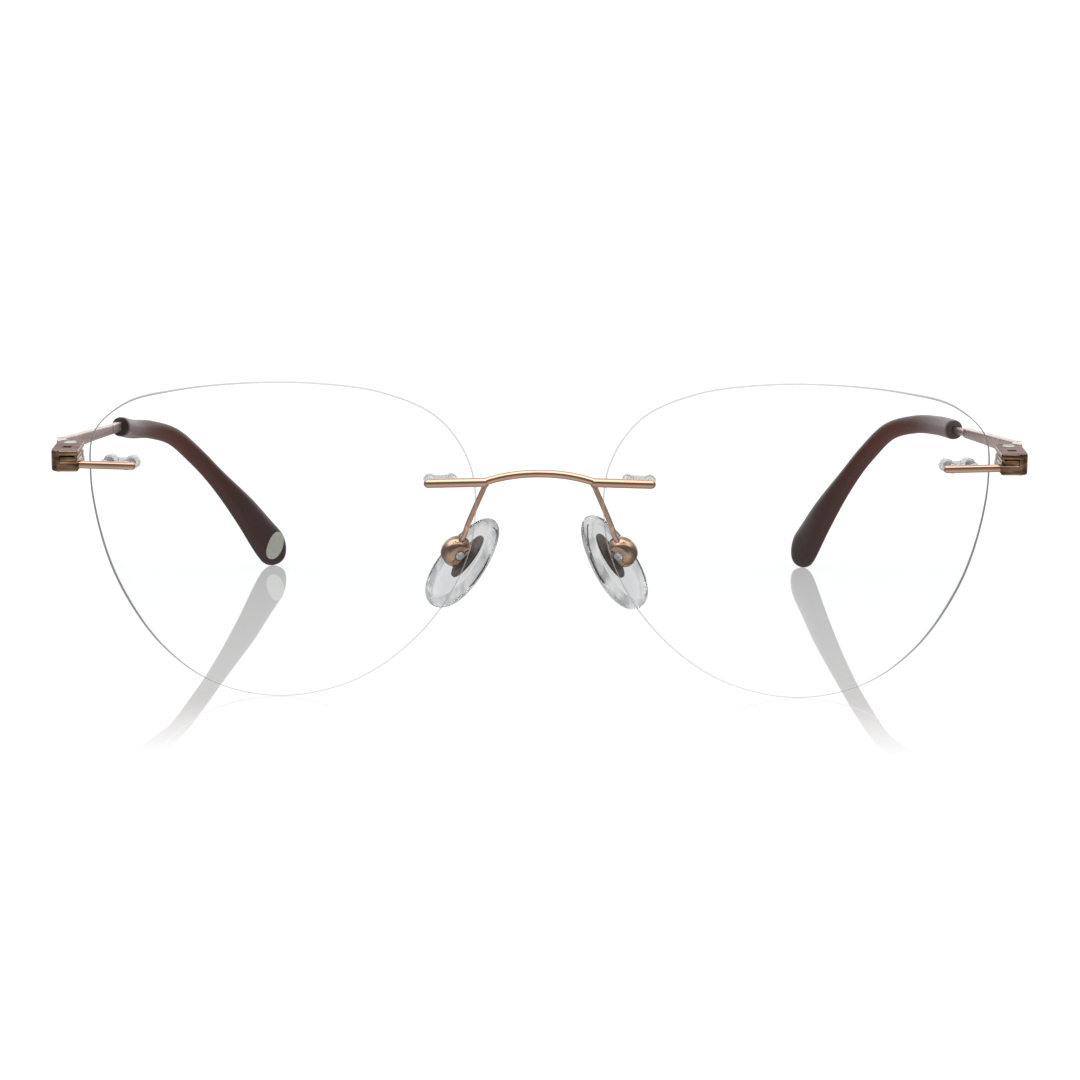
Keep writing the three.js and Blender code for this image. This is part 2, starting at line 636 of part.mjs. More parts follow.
// Frame on the inner face of the tip where the badge lies: Y out of the face, towards the nose.
function badgeFrame() {
  const path = tablePath(TIP_PATHS.left);
  const along = path.getTangentAt(BADGE_AT);
  const inward = new THREE.Vector3().crossVectors(new THREE.Vector3(0, 0, 1), along).normalize();
  const over = new THREE.Vector3().crossVectors(along, inward);
  const middle = path.getPointAt(BADGE_AT).addScaledVector(inward, tipSize(BADGE_AT)[0]);
  return frameOf(middle.toArray(), along, inward, over);
}

function templeTip(tipPath, badged) {
  const path = tablePath(tipPath);
  const sleeve = bar(path, tipSize, 26, 16, 2.2, SLEEVE_START, 1);
  const hollow = bar(path, coreSize(CORE_GAP), 20, 8, CORE_POWER, 0, CORE_END + 0.002);
  const tip = cut(sleeve, hollow);
  const seat = rod(BADGE_RADIUS + 0.03, -BADGE_DEPTH - 0.03, 3, 0, 0, badgeFrame(), 24);
  return badged ? cut(tip, seat) : tip;
}

function tipBadge() {
  return rod(BADGE_RADIUS, -BADGE_DEPTH, -0.02, 0, 0, badgeFrame(), 24);
}

// ---------------------------------------------------------------------------------------------
// Assembly
// ---------------------------------------------------------------------------------------------

function mesh(name, manifold, look) {
  const geometry = geometryOf(manifold).toNonIndexed();
  geometry.computeVertexNormals();
  const made = new THREE.Mesh(geometry, look);
  made.name = name;
  return made;
}

const mirrored = (manifold) => solid(geometryOf(manifold).scale(-1, 1, 1));

// The same piece on both sides: made for the right, mirrored for the left.
function pair(name, manifold, look) {
  return [mesh(`left_${name}`, mirrored(manifold), look), mesh(`right_${name}`, manifold, look)];
}

function padPieces(name, manifold, look) {
  const turned = (angle) => solid(moved(geometryOf(manifold), rocked(angle)));
  return [
    mesh(`left_${name}`, mirrored(turned(PAD_TURN.left)), look),
    mesh(`right_${name}`, turned(PAD_TURN.right), look),
  ];
}

function assemble() {
  const front = new THREE.Group();
  const bridgeSolid = bridge();
  front.add(
    ...pair('lens', lens(), lensClear()),
    mesh('bridge', bridgeSolid, roseGold()),
    ...pair('bridge_bushing', bushing(BRIDGE_SITE, bridgeFrame), plugClear()),
    ...pair('endpiece_bushing', bushing(END_SITE, endFrame), plugClear()),
    ...pair('endpiece', endpiece(), roseGold()),
    ...pair('hinge_screw', hingeScrew(), silver()),
    ...pair('pad_arm', padArm(bridgeSolid), roseGold()),
    ...pair('pad_screw', padScrew(), silver()),
    ...padPieces('pad_core', padCore(), coreTaupe()),
    ...padPieces('nose_pad', nosePad(), padClear()),
    mesh('left_temple', mirrored(temple(TIP_PATHS.left)), paleRose()),
    mesh('right_temple', temple(TIP_PATHS.right), paleRose()),
    mesh('left_temple_tip', mirrored(templeTip(TIP_PATHS.left, true)), tipBrown()),
    mesh('right_temple_tip', templeTip(TIP_PATHS.right, false), tipBrown()),
    mesh('left_tip_badge', mirrored(tipBadge()), badgeGrey()),
  );
  front.rotation.x = FRONT_LEAN;
  front.position.copy(contact).applyAxisAngle(new THREE.Vector3(1, 0, 0), FRONT_LEAN).negate();

  const glasses = new THREE.Group();
  glasses.add(front);
  const footprint = new THREE.Box3().setFromObject(glasses, true);
  front.position.y -= (footprint.min.y + footprint.max.y) / 2;
  front.position.z -= footprint.min.z;
  return glasses;
}

export default assemble();
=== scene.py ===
"""Rimless eyeglasses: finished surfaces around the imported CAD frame.

Shapes are laid out in millimetres in the front's own upright frame (x outward on the right side,
y back towards the ears, z up from the lens centres) and then leaned and placed as the CAD front is.
The left side is the right side mirrored.
"""

import json
import math

import bmesh
import bpy
import numpy as np
from mathutils import Matrix, Vector


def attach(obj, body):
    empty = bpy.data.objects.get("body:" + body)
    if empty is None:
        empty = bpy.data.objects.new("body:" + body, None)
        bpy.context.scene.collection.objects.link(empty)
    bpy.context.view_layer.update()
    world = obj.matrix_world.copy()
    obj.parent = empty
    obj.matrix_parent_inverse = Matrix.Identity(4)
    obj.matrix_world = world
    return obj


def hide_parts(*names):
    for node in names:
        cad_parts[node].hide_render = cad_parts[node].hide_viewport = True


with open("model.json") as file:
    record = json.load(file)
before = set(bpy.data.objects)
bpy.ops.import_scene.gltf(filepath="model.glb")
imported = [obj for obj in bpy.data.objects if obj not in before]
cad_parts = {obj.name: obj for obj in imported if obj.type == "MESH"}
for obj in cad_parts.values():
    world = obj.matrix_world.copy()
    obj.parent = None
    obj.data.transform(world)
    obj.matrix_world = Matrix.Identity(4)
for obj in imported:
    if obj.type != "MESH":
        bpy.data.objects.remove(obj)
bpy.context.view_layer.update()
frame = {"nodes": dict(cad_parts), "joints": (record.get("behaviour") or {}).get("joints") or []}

# ---- The front's own frame ----

MM = 0.001
LEAN = math.radians(4.5)
HINGE_POINT = np.array([64.15, 8.9, 10.45])
LEAN_MATRIX = np.array([
    [1, 0, 0],
    [0, math.cos(LEAN), -math.sin(LEAN)],
    [0, math.sin(LEAN), math.cos(LEAN)],
])
hinge_joint = next(j for j in frame["joints"] if j["name"] == "right_temple_hinge")
FRONT_PLACE = np.array(hinge_joint["pos_m"]) / MM - LEAN_MATRIX @ HINGE_POINT


def lens_contact():
    """Point where the lenses touch the table, in metres, on the middle plane."""
    at = np.array([v.co for v in frame["nodes"]["left_lens"].data.vertices])
    lowest = at[np.argmin(at[:, 2])]
    return np.array([0.0, lowest[1], 0.0])


CONTACT = lens_contact()

# ---- Dimensions, in millimetres ----

LENS_CENTRE = (35.0, -1.54)
LENS_WRAP = math.radians(3)
LENS_RADIUS = 120.0
LENS_THICKNESS = 1.9
LENS_HOLE = 0.68
LENS_OUTLINE = [
    (24.6, 0), (26.05, 8.5), (25.45, 14.3), (21.1, 18.3), (14.2, 20.3), (5, 21.5),
    (-5, 21.6), (-14.2, 20.25), (-21.4, 16.8), (-25.7, 10.1), (-26, 1), (-23.4, -6.3),
    (-17.95, -13.55), (-10, -19.25), (0, -21.7), (9.5, -19.95), (16.6, -14.85), (21.85, -7.2),
]

PIN_RADIUS = 0.38
PLUG_BORE = 0.42
PLUG_NECK = 0.64
PLUG_RADIUS = 0.95
PLUG_LENGTH = 1.35
BRIDGE_PLUG = (0.95, 0.78)
PLUG_GAP = 0.18
LENS_GAP = 0.09

BRIDGE_SITE = (13.1, 8.3, 3.0)
BRIDGE_BAR = 0.63
BRIDGE_BAR_ENDS = (-5.6, 1.95)
BRIDGE_WIRE = 0.54
BRIDGE_RISE_Z = 9.43
BRIDGE_BOW = 0.9
BRIDGE_FULLNESS = 2.15

END_SITE = (57.25, 10.0, 3.1)
END_BAR_HIGH = 0.53
END_BAR_DEEP = 0.5
END_BAR_ENDS = (-3.1, 5.6)
BLOCK_X = (62.3, 66.0)
BLOCK_Z = (9.0, 11.9)
BLOCK_FRONT_Y = 2.1
LUG_RADIUS = 1.85
KNUCKLE_RADIUS = 1.75
KNUCKLE_Z = (9.97, 10.93)
HINGE_SCREW_RADIUS = 0.5
HINGE_SCREW_HEAD = 0.95
THROUGH_BLOCK = (8, 13)
LOW_PLATE_TOP = 10.3
MIDDLE_PLATE_Z = (10.42, 10.95)
TOP_PLATE_FOOT = 11.2
SIDE_FROM_X = 64.75
SIDE_PROUD = 0.012

PAD_ARM_RADIUS = 0.38
PAD_ARM_PATH = [
    (7.3, -0.25, 8), (7.66, 1, 6.9), (8.33, 2.7, 5.1), (9.12, 4.4, 3), (9.85, 5.7, 1),
    (10.5, 6.7, -0.9),
]
PAD_BOX_CENTRE = (11.3, 7.8, -3.0)
PAD_BOX_RADIUS = 2.3
PAD_BOX_HALF_DEPTH = 1.75
PAD_BOX_FACET = 1.35
PAD_SCREW_AXIS = (0.35, 0.88, 0.3)
PAD_SLOT = 0.9
PAD_BOX_OPEN = 0.7
PAD_PIVOT = 1.15
PAD_DROP = 2.17
PAD_LOWER = 0.87
PAD_LONG_AXIS = (-0.55, 0.2, 0.81)
PAD_FACE_NORMAL = (0.665, -0.57, 0.482)
PAD_HALF = (4.08, 7.15)
PAD_THICKNESS = 2.4
PAD_TAPER = 0.15
PAD_RAISED = 0.22
PAD_LONGER = 0.12
PAD_BAND_FROM = 0.86
CORE_HALF = (1.3, 3.45)
CORE_ASIDE = 0.55
CORE_MIDDLE = 1.2
CORE_TOP = 0.75
CORE_THICKNESS = 0.6
PAD_TURN = {"left": math.radians(-3.5), "right": math.radians(3.5)}

BAR_PATH = [
    (66.1, 10.5, 33.1), (66.6, 16, 32.65), (67.4, 35, 31.3), (67.7, 55, 30.05), (67.4, 74, 28.95),
]
TIP_PATHS = {
    "left": [
        (67.4, 74, 28.95), (67.05, 83, 28.5), (66.08, 91, 27.33), (63.82, 98, 26.53),
        (60.89, 103.4, 24.92), (57.69, 108.8, 21.12), (53.99, 114.2, 15.94),
        (50.28, 119.6, 10.27), (47.16, 124.8, 4.71), (44.81, 128.4, 1.01),
    ],
    "right": [
        (67.4, 74, 28.95), (66.75, 83, 28.5), (64.88, 91, 28.44), (61.96, 98, 27.9),
        (58.59, 103.4, 26.28), (55.29, 108.8, 21.9), (51.91, 114.2, 15.98),
        (49.11, 119.6, 10.14), (46.93, 124.8, 4.64), (45.32, 128.4, 0.89),
    ],
}
SLEEVE_START = 0.135
CORE_END = 0.84
BADGE_AT = 0.94
BADGE_RADIUS = 2.55
BADGE_NARROW = 0.8

# ---- Frames and curves (numpy, millimetres) ----


def smoothstep(t, low, high):
    s = min(1.0, max(0.0, (t - low) / (high - low)))
    return s * s * (3 - 2 * s)


def unit(v):
    v = np.asarray(v, float)
    return v / np.linalg.norm(v)


def basis(origin, x, y, z):
    """4x4 frame with the given directions."""
    m = np.eye(4)
    m[:3, 0], m[:3, 1], m[:3, 2], m[:3, 3] = x, y, z, origin
    return m


def place(matrix, points):
    return np.asarray(points, float) @ matrix[:3, :3].T + matrix[:3, 3]


BALL = (
    LENS_CENTRE[0] - LENS_RADIUS * math.sin(LENS_WRAP),
    LENS_CENTRE[1] + LENS_RADIUS * math.cos(LENS_WRAP),
)


def lens_front_y(x, z):
    return BALL[1] - math.sqrt(LENS_RADIUS ** 2 - (x - BALL[0]) ** 2 - z ** 2)


def turned_z(angle, origin):
    c, s = math.cos(angle), math.sin(angle)
    return basis(origin, (c, s, 0), (-s, c, 0), (0, 0, 1))


def site_frame(site):
    x, z, _ = site
    turn = math.asin((x - BALL[0]) / LENS_RADIUS)
    return turned_z(turn, (x, lens_front_y(x, z), z))


BRIDGE_FRAME = site_frame(BRIDGE_SITE)
END_FRAME = site_frame(END_SITE)

screw_axis = unit(PAD_SCREW_AXIS)
pad_long = unit(PAD_LONG_AXIS)
_normal = np.array(PAD_FACE_NORMAL)
pad_normal = unit(_normal - pad_long * (_normal @ pad_long))
_towards = -pad_normal
_towards = unit(_towards - screw_axis * (_towards @ screw_axis))
BOX_FRAME = basis(PAD_BOX_CENTRE, _towards, screw_axis, np.cross(_towards, screw_axis))
PAD_FRAME = basis(
    np.array(PAD_BOX_CENTRE) - PAD_DROP * pad_normal - PAD_LOWER * pad_long,
    np.cross(pad_normal, pad_long), pad_normal, pad_long,
)


def rocked(angle):
    """Turn about the pad screw, as a 4x4 matrix."""
    turn = np.array(Matrix.Rotation(angle, 3, Vector(screw_axis)))
    m = np.eye(4)
    m[:3, :3] = turn
    centre = np.array(PAD_BOX_CENTRE)
    m[:3, 3] = centre - turn @ centre
    return m


def spline(points, closed=False, power=0.5, per=24):
    """Catmull-Rom curve through the points; power 0.5 is centripetal and 1 is chordal."""
    p = np.asarray(points, float)
    n = len(p)
    out = []
    for i in range(n if closed else n - 1):
        p1, p2 = p[i], p[(i + 1) % n]
        p0 = p[i - 1] if closed or i > 0 else 2 * p1 - p2
        p3 = p[(i + 2) % n] if closed or i + 2 < n else 2 * p2 - p1
        d0, d1, d2 = (
            max(np.linalg.norm(b - a) ** power, 1e-6) for a, b in ((p0, p1), (p1, p2), (p2, p3)))
        m1 = ((p1 - p0) / d0 - (p2 - p0) / (d0 + d1) + (p2 - p1) / d1) * d1
        m2 = ((p2 - p1) / d1 - (p3 - p1) / (d1 + d2) + (p3 - p2) / d2) * d1
        s = np.linspace(0, 1, per, endpoint=False)[:, None]
        out.append(p1 + m1 * s + (3 * (p2 - p1) - 2 * m1 - m2) * s ** 2
                   + (2 * (p1 - p2) + m1 + m2) * s ** 3)
    if not closed:
        out.append(p[-1:])
    return np.concatenate(out)


def evenly(curve, shares, closed=False):
    """Points at shares 0..1 of a polyline's length."""
    c = np.concatenate([curve, curve[:1]]) if closed else curve
    lengths = np.r_[0, np.cumsum(np.linalg.norm(np.diff(c, axis=0), axis=1))]
    at = np.asarray(shares) * lengths[-1]
    return np.stack([np.interp(at, lengths, c[:, k]) for k in range(c.shape[1])], -1)


def from_table(points):
    """Table coordinates (y from the lenses' contact line, z up) to the front's own frame."""
    contact = (CONTACT / MM - FRONT_PLACE) @ LEAN_MATRIX
    return np.asarray(points, float) @ LEAN_MATRIX + contact


# ---- Shells: (vertices, faces) in the front's own frame ----


def loft(rings, caps=(True, True)):
    """Closed skin over a stack of equal rings, with flat ends."""
    rings = np.asarray(rings, float)
    n, m, _ = rings.shape
    faces = []
    for i in range(n - 1):
        for j in range(m):
            k = (j + 1) % m
            faces.append((i * m + j, i * m + k, (i + 1) * m + k, (i + 1) * m + j))
    if caps[0]:
        faces.append(tuple(range(m - 1, -1, -1)))
    if caps[1]:
        faces.append(tuple((n - 1) * m + j for j in range(m)))
    return rings.reshape(-1, 3), faces


def circle(count, start=0.0):
    turn = start + np.linspace(0, 2 * math.pi, count, endpoint=False)
    return np.stack([np.cos(turn), np.sin(turn)], -1)


def turned(profile, matrix, sides=48):
    """Solid turned about the frame's Y axis: profile is (radius, y) from one end to the other."""
    ring = circle(sides)
    rings = [
        np.stack([r * ring[:, 0], np.full(sides, y), -r * ring[:, 1]], -1) for r, y in profile]
    v, f = loft(rings)
    return place(matrix, v), f


def rod(radius, y0, y1, matrix, x=0.0, z=0.0, sides=40, round_by=0.0):
    """Rod along the frame's Y axis, with its ends' edges rounded by round_by."""
    shift = np.eye(4)
    shift[:3, 3] = (x, 0, z)
    if round_by:
        start = [(radius - round_by * (1 - math.sin(a)), y0 + round_by * (1 - math.cos(a)))
                 for a in np.linspace(0, math.pi / 2, 6)]
        end = [(r, y0 + y1 - y) for r, y in reversed(start)]
        return turned(start + end, matrix @ shift, sides)
    return turned([(radius, y0), (radius, y1)], matrix @ shift, sides)


def hinge_post(radius, z0, z1, round_by=0.0):
    """Upright rod about the hinge axis."""
    axis = basis((*HINGE_POINT[:2], 0), (1, 0, 0), (0, 0, 1), (0, -1, 0))
    return rod(radius, z0, z1, axis, sides=56, round_by=round_by)


def block(low, high, matrix=np.eye(4)):
    (x0, y0, z0), (x1, y1, z1) = low, high
    ring = [(x0, y0), (x1, y0), (x1, y1), (x0, y1)]
    v, f = loft([[(x, y, z) for x, y in ring] for z in (z0, z1)])
    return place(matrix, v), f


def tube(path, radius, sides=32, round_ends=(False, False)):
    """Round tube along a polyline, each end either flat or a half ball."""
    p = np.asarray(path, float)
    radii = np.full(len(p), float(radius))
    for way, rounded in zip((-1, 1), round_ends):
        if rounded:
            p, radii = ball_end(p[::way], radii[::way], radius)
            p, radii = p[::way], radii[::way]
    t = np.gradient(p, axis=0)
    t /= np.linalg.norm(t, axis=1)[:, None]
    side = unit(np.cross(t[0], (0.3, 0.2, 1.0)))
    ring = circle(sides)
    rings = []
    for i in range(len(p)):
        side = unit(side - t[i] * (side @ t[i]))
        over = np.cross(t[i], side)
        rings.append(p[i] + radii[i] * (ring[:, :1] * side + ring[:, 1:] * over))
    return loft(rings)


def flared(path, wide, narrow):
    """Foot of solder round a wire: wide at the start of the path and narrowing along it."""
    p = np.asarray(path, float)
    along = unit(p[-1] - p[0])
    side = unit(np.cross(along, (0.3, 0.2, 1.0)))
    over = np.cross(along, side)
    ring = circle(28)
    rings = []
    for i, at in enumerate(p):
        share = i / (len(p) - 1)
        radius = narrow * 0.985 + (wide - narrow) * (1 - share) ** 2.4
        rings.append(at + radius * (ring[:, :1] * side + ring[:, 1:] * over))
    return loft(rings)


def ball_end(p, radii, radius, steps=8):
    """The path carried on past its last point over a half ball, and the radii along it."""
    way = unit(p[-1] - p[-2])
    turn = np.linspace(0, math.pi / 2 - 0.06, steps)
    more = p[-1] + way * (radius * np.sin(turn))[:, None]
    return np.concatenate([p[:-1], more]), np.concatenate([radii[:-1], radius * np.cos(turn)])


def prism(outline, z0, z1, bevel=0.0, steps=4):
    """Upright prism over a plan outline, with its top and bottom edges rounded."""
    o = np.asarray(outline, float)
    area = np.sum(o[:, 0] * np.roll(o[:, 1], -1) - np.roll(o[:, 0], -1) * o[:, 1])
    if area < 0:
        o = o[::-1]
    along = np.roll(o, -1, 0) - np.roll(o, 1, 0)
    normal = np.stack([along[:, 1], -along[:, 0]], -1)
    normal /= np.linalg.norm(normal, axis=1)[:, None]
    if bevel:
        turn = np.linspace(0, math.pi / 2, steps + 1)
        low = [(bevel * (1 - math.sin(a)), z0 + bevel * (1 - math.cos(a))) for a in turn]
        high = [(inset, z0 + z1 - z) for inset, z in reversed(low)]
        levels = low + high
    else:
        levels = [(0, z0), (0, z1)]
    rings = [
        np.concatenate([o - inset * normal, np.full((len(o), 1), z)], 1) for inset, z in levels]
    return loft(rings)


def arc(cx, cy, radius, start, end, count=14):
    turn = np.radians(np.linspace(start, end, count))
    return [(cx + radius * math.cos(a), cy + radius * math.sin(a)) for a in turn]


# ---- Booleans and finishing ----


def new_object(name, data):
    thing = bpy.data.objects.new(name, data)
    bpy.context.scene.collection.objects.link(thing)
    return thing


def raw_object(shell, name="work"):
    mesh = bpy.data.meshes.new(name)
    mesh.from_pydata([tuple(v) for v in shell[0]], [], [tuple(f) for f in shell[1]])
    bm = bmesh.new()
    bm.from_mesh(mesh)
    bmesh.ops.recalc_face_normals(bm, faces=bm.faces)
    bm.to_mesh(mesh)
    bm.free()
    return new_object(name, mesh)


def shell_of(mesh):
    v = np.empty(len(mesh.vertices) * 3)
    mesh.vertices.foreach_get("co", v)
    return v.reshape(-1, 3), [tuple(p.vertices) for p in mesh.polygons]


def shaped(base, add=(), cut=(), bevel=0.0, bevel_steps=2, voxel=0.0, smooth=0):
    """Base joined with `add` and cut by `cut`; then its sharp edges are bevelled, or it is
    remeshed at a voxel size and smoothed, which rounds its edges."""
    thing = raw_object(base)
    helpers = []
    for operation, shells in (("UNION", add), ("DIFFERENCE", cut)):
        for shell in shells:
            helper = raw_object(shell, "helper")
            helpers.append(helper)
            boolean = thing.modifiers.new("cut", "BOOLEAN")
            boolean.operation = operation
            boolean.solver = "EXACT"
            boolean.object = helper
    if voxel:
        remesh = thing.modifiers.new("voxel", "REMESH")
        remesh.mode = "VOXEL"
        remesh.voxel_size = voxel
        soften = thing.modifiers.new("soften", "SMOOTH")
        soften.factor = 0.5
        soften.iterations = smooth
    if bevel:
        round_off = thing.modifiers.new("bevel", "BEVEL")
        round_off.width = bevel
        round_off.segments = bevel_steps
        round_off.limit_method = "ANGLE"
        round_off.angle_limit = math.radians(32)
        round_off.use_clamp_overlap = True
    bpy.context.view_layer.update()
    graph = bpy.context.evaluated_depsgraph_get()
    made = bpy.data.meshes.new_from_object(thing.evaluated_get(graph))
    shell = shell_of(made)
    for helper in [thing, *helpers]:
        data = helper.data
        bpy.data.objects.remove(helper)
        bpy.data.meshes.remove(data)
    bpy.data.meshes.remove(made)
    return shell


def piece(name, shell, body, looks, slot, side="right", crease=38, matrix=None, slots=None):
    """Makes the visible piece that stands for the CAD node of the same name. Its looks are its
    materials, and slots, if given, says which face has which."""
    v, f = shell
    if matrix is not None:
        v = place(matrix, v)
    if side == "left":
        v = v * np.array([-1, 1, 1])
        f = [face[::-1] for face in f]
    v = (v @ LEAN_MATRIX.T + FRONT_PLACE) * MM
    mesh = bpy.data.meshes.new(name + "_mesh")
    mesh.from_pydata([tuple(p) for p in v], [], f)
    bm = bmesh.new()
    bm.from_mesh(mesh)
    bmesh.ops.remove_doubles(bm, verts=bm.verts, dist=2e-7)
    bmesh.ops.dissolve_degenerate(bm, edges=bm.edges, dist=1e-7)
    bmesh.ops.recalc_face_normals(bm, faces=bm.faces)
    limit = math.radians(crease)
    for edge in bm.edges:
        edge.smooth = len(edge.link_faces) == 2 and edge.calc_face_angle(0.0) < limit
    for face in bm.faces:
        face.smooth = True
    bm.to_mesh(mesh)
    bm.free()
    thing = new_object(name + "_finish", mesh)
    for look in looks:
        mesh.materials.append(look)
    if slots is not None:
        slots(mesh)
    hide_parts(name)
    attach(thing, body)
    return thing


def face_place(polygon):
    """Middle of a finished face in the front's own frame, as on the right side."""
    at = np.array(polygon.center) / MM
    at[0] = abs(at[0])
    return LEAN_MATRIX.T @ (at - FRONT_PLACE)


# ---- Materials ----


def fill_ramp(ramp, stops):
    """Sets a colour ramp's stops: (position, colour), in rising order of position."""
    elements = ramp.color_ramp.elements
    elements[0].position = stops[0][0]
    elements[1].position = stops[-1][0]
    for position, _ in stops[1:-1]:
        elements.new(position)
    for element, (_, colour) in zip(elements, stops):
        element.color = (*colour, 1.0)


class Tree:
    """A node tree, with short calls for the nodes used here."""

    def __init__(self, tree):
        self.tree = tree

    def node(self, kind, **values):
        made = self.tree.nodes.new(kind)
        for key, value in values.items():
            setattr(made, key, value)
        return made

    def link(self, source, target):
        self.tree.links.new(source, target)

    def maths(self, operation, *values, **more):
        """A maths node fed by numbers or sockets."""
        made = self.node("ShaderNodeMath", operation=operation, **more)
        for value, target in zip(values, made.inputs):
            if isinstance(value, (int, float)):
                target.default_value = value
            else:
                self.link(value, target)
        return made.outputs[0]

    def ranged(self, source, low, high, from_low=0.3, from_high=0.7, **more):
        ranged = self.node("ShaderNodeMapRange", **more)
        limits = {"From Min": from_low, "From Max": from_high, "To Min": low, "To Max": high}
        for key, value in limits.items():
            ranged.inputs[key].default_value = value
        self.link(source, ranged.inputs["Value"])
        return ranged.outputs["Result"]

    def ramp(self, source, stops):
        ramp = self.node("ShaderNodeValToRGB")
        fill_ramp(ramp, stops)
        self.link(source, ramp.inputs["Fac"])
        return ramp.outputs["Color"]


class Nodes(Tree):
    """A material's node tree around its Principled shader."""

    def __init__(self, name):
        self.material = bpy.data.materials.new(name)
        self.material.use_nodes = True
        super().__init__(self.material.node_tree)
        self.shader = self.tree.nodes["Principled BSDF"]
        self.output = self.tree.nodes["Material Output"]
        self.object_at = self.node("ShaderNodeTexCoord").outputs["Object"]

    def set(self, **values):
        for key, value in values.items():
            self.shader.inputs[key.replace("_", " ")].default_value = value

    def noise(self, scale, detail=3.0, stretch=(1, 1, 1)):
        mapping = self.node("ShaderNodeMapping")
        mapping.inputs["Scale"].default_value = stretch
        self.link(self.object_at, mapping.inputs["Vector"])
        noise = self.node("ShaderNodeTexNoise")
        noise.inputs["Scale"].default_value = scale
        noise.inputs["Detail"].default_value = detail
        self.link(mapping.outputs["Vector"], noise.inputs["Vector"])
        return noise.outputs["Fac"]

    def base(self, colour):
        self.link(colour, self.shader.inputs["Base Color"])

    def rough(self, grain, low, high):
        self.link(self.ranged(grain, low, high), self.shader.inputs["Roughness"])

    def bump(self, source, strength, distance=0.00002):
        bump = self.node("ShaderNodeBump")
        bump.inputs["Strength"].default_value = strength
        bump.inputs["Distance"].default_value = distance
        self.link(source, bump.inputs["Height"])
        self.link(bump.outputs["Normal"], self.shader.inputs["Normal"])

    def axis(self, which):
        split = self.node("ShaderNodeSeparateXYZ")
        self.link(self.object_at, split.inputs["Vector"])
        return split.outputs[which]

    def show_mix(self, share, under, over):
        """Shows one shader over another by a share, in place of the Principled shader."""
        self.tree.nodes.remove(self.shader)
        mix = self.node("ShaderNodeMixShader")
        for source, target in zip((share, under.outputs[0], over.outputs[0]), mix.inputs):
            self.link(source, target)
        self.link(mix.outputs[0], self.output.inputs["Surface"])


def plated_metal(name, dark, light, roughness, stretch=(1, 1, 1), grain=5000, bump=0.05,
                 drift=(260, 2, (1, 1, 1)), graze=(1, 1, 1)):
    """Polished plating: fine grain in its gloss, and a drift in its colour."""
    n = Nodes(name)
    n.set(Metallic=1.0, Specular_Tint=(*graze, 1.0))
    n.base(n.ramp(n.noise(*drift), [(0.36, dark), (0.64, light)]))
    fine = n.noise(grain, 3, stretch)
    n.rough(fine, *roughness)
    n.bump(fine, bump)
    return n.material


def tip_plastic():
    """Brown acetate: reddish over the bend and near black at the flared end, with a soft polish; the
    pale mauve where it meets the metal is a painted sheen, the backdrop's reflection at a glancing
    angle."""
    n = Nodes("tip_brown")
    n.set(IOR=1.38)
    along = n.ranged(n.axis("Y"), 0.0, 1.0, 0.020, 0.067)
    drift = n.maths("MULTIPLY_ADD", n.noise(130, 4), 0.03, along)
    # Painted sheen: the pale mauve stops at 0.06 and 0.17 stand for the backdrop's reflection near
    # the sleeve's start.
    n.base(n.ramp(drift, [
        (0.0, (0.022, 0.012, 0.011)), (0.035, (0.026, 0.014, 0.013)),
        (0.06, (0.165, 0.122, 0.128)), (0.17, (0.145, 0.098, 0.100)),
        (0.30, (0.082, 0.035, 0.028)), (0.46, (0.074, 0.020, 0.012)),
        (0.72, (0.040, 0.011, 0.008)), (1.0, (0.019, 0.007, 0.006)),
    ]))
    fine = n.noise(2600, 4)
    n.rough(fine, 0.26, 0.36)
    n.bump(fine, 0.05)
    return n.material


def clear_plastic(name, tint, roughness, ior, streaks=0.0):
    """Clear moulded plastic with faint flow marks; with streaks, it gets painted grey and near-white
    streaks standing for the dark and bright lines that bending light shows.
    """
    n = Nodes(name)
    n.set(IOR=ior, Base_Color=(*tint, 1.0), Transmission_Weight=1.0)
    if streaks:
        # Painted shade and highlight: darker and near-white bands laid into the colour itself.
        darker = [channel * (1 - streaks) for channel in tint]
        bands = n.noise(330, 3, (1.5, 1.5, 0.7))
        n.base(n.ramp(bands, [(0.38, darker), (0.5, tint), (0.64, (0.97, 0.98, 0.98))]))
    n.set(Coat_Weight=1.0, Coat_Roughness=0.02, Coat_IOR=1.5)
    flow = n.noise(600, 2, (1, 1, 2.5))
    n.rough(flow, *roughness)
    n.bump(flow, 0.25, 0.00004)
    return n.material


LENS_GLOSS = 0.02
LENS_GLOSS_RISE = 0.35
LENS_GLOSS_POWER = 5.0


def lens_surface():
    """Face of a clear lens: see-through, with the gloss of its coating."""
    n = Nodes("lens_clear")
    clear = n.node("ShaderNodeBsdfTransparent")
    clear.inputs["Color"].default_value = (0.99, 0.995, 0.995, 1)
    gloss = n.node("ShaderNodeBsdfGlossy")
    gloss.inputs["Color"].default_value = (0.93, 0.97, 0.96, 1)
    gloss.inputs["Roughness"].default_value = 0.02
    # The straight-through rays meet the back face at the same slant as the front, so the gloss
    # rises alike on both: a Fresnel node would turn the inner side into a full mirror.
    slant = n.node("ShaderNodeLayerWeight").outputs["Facing"]
    steep = n.maths("POWER", slant, LENS_GLOSS_POWER)
    n.show_mix(n.maths("MULTIPLY_ADD", steep, LENS_GLOSS_RISE, LENS_GLOSS), clear, gloss)
    return n.material


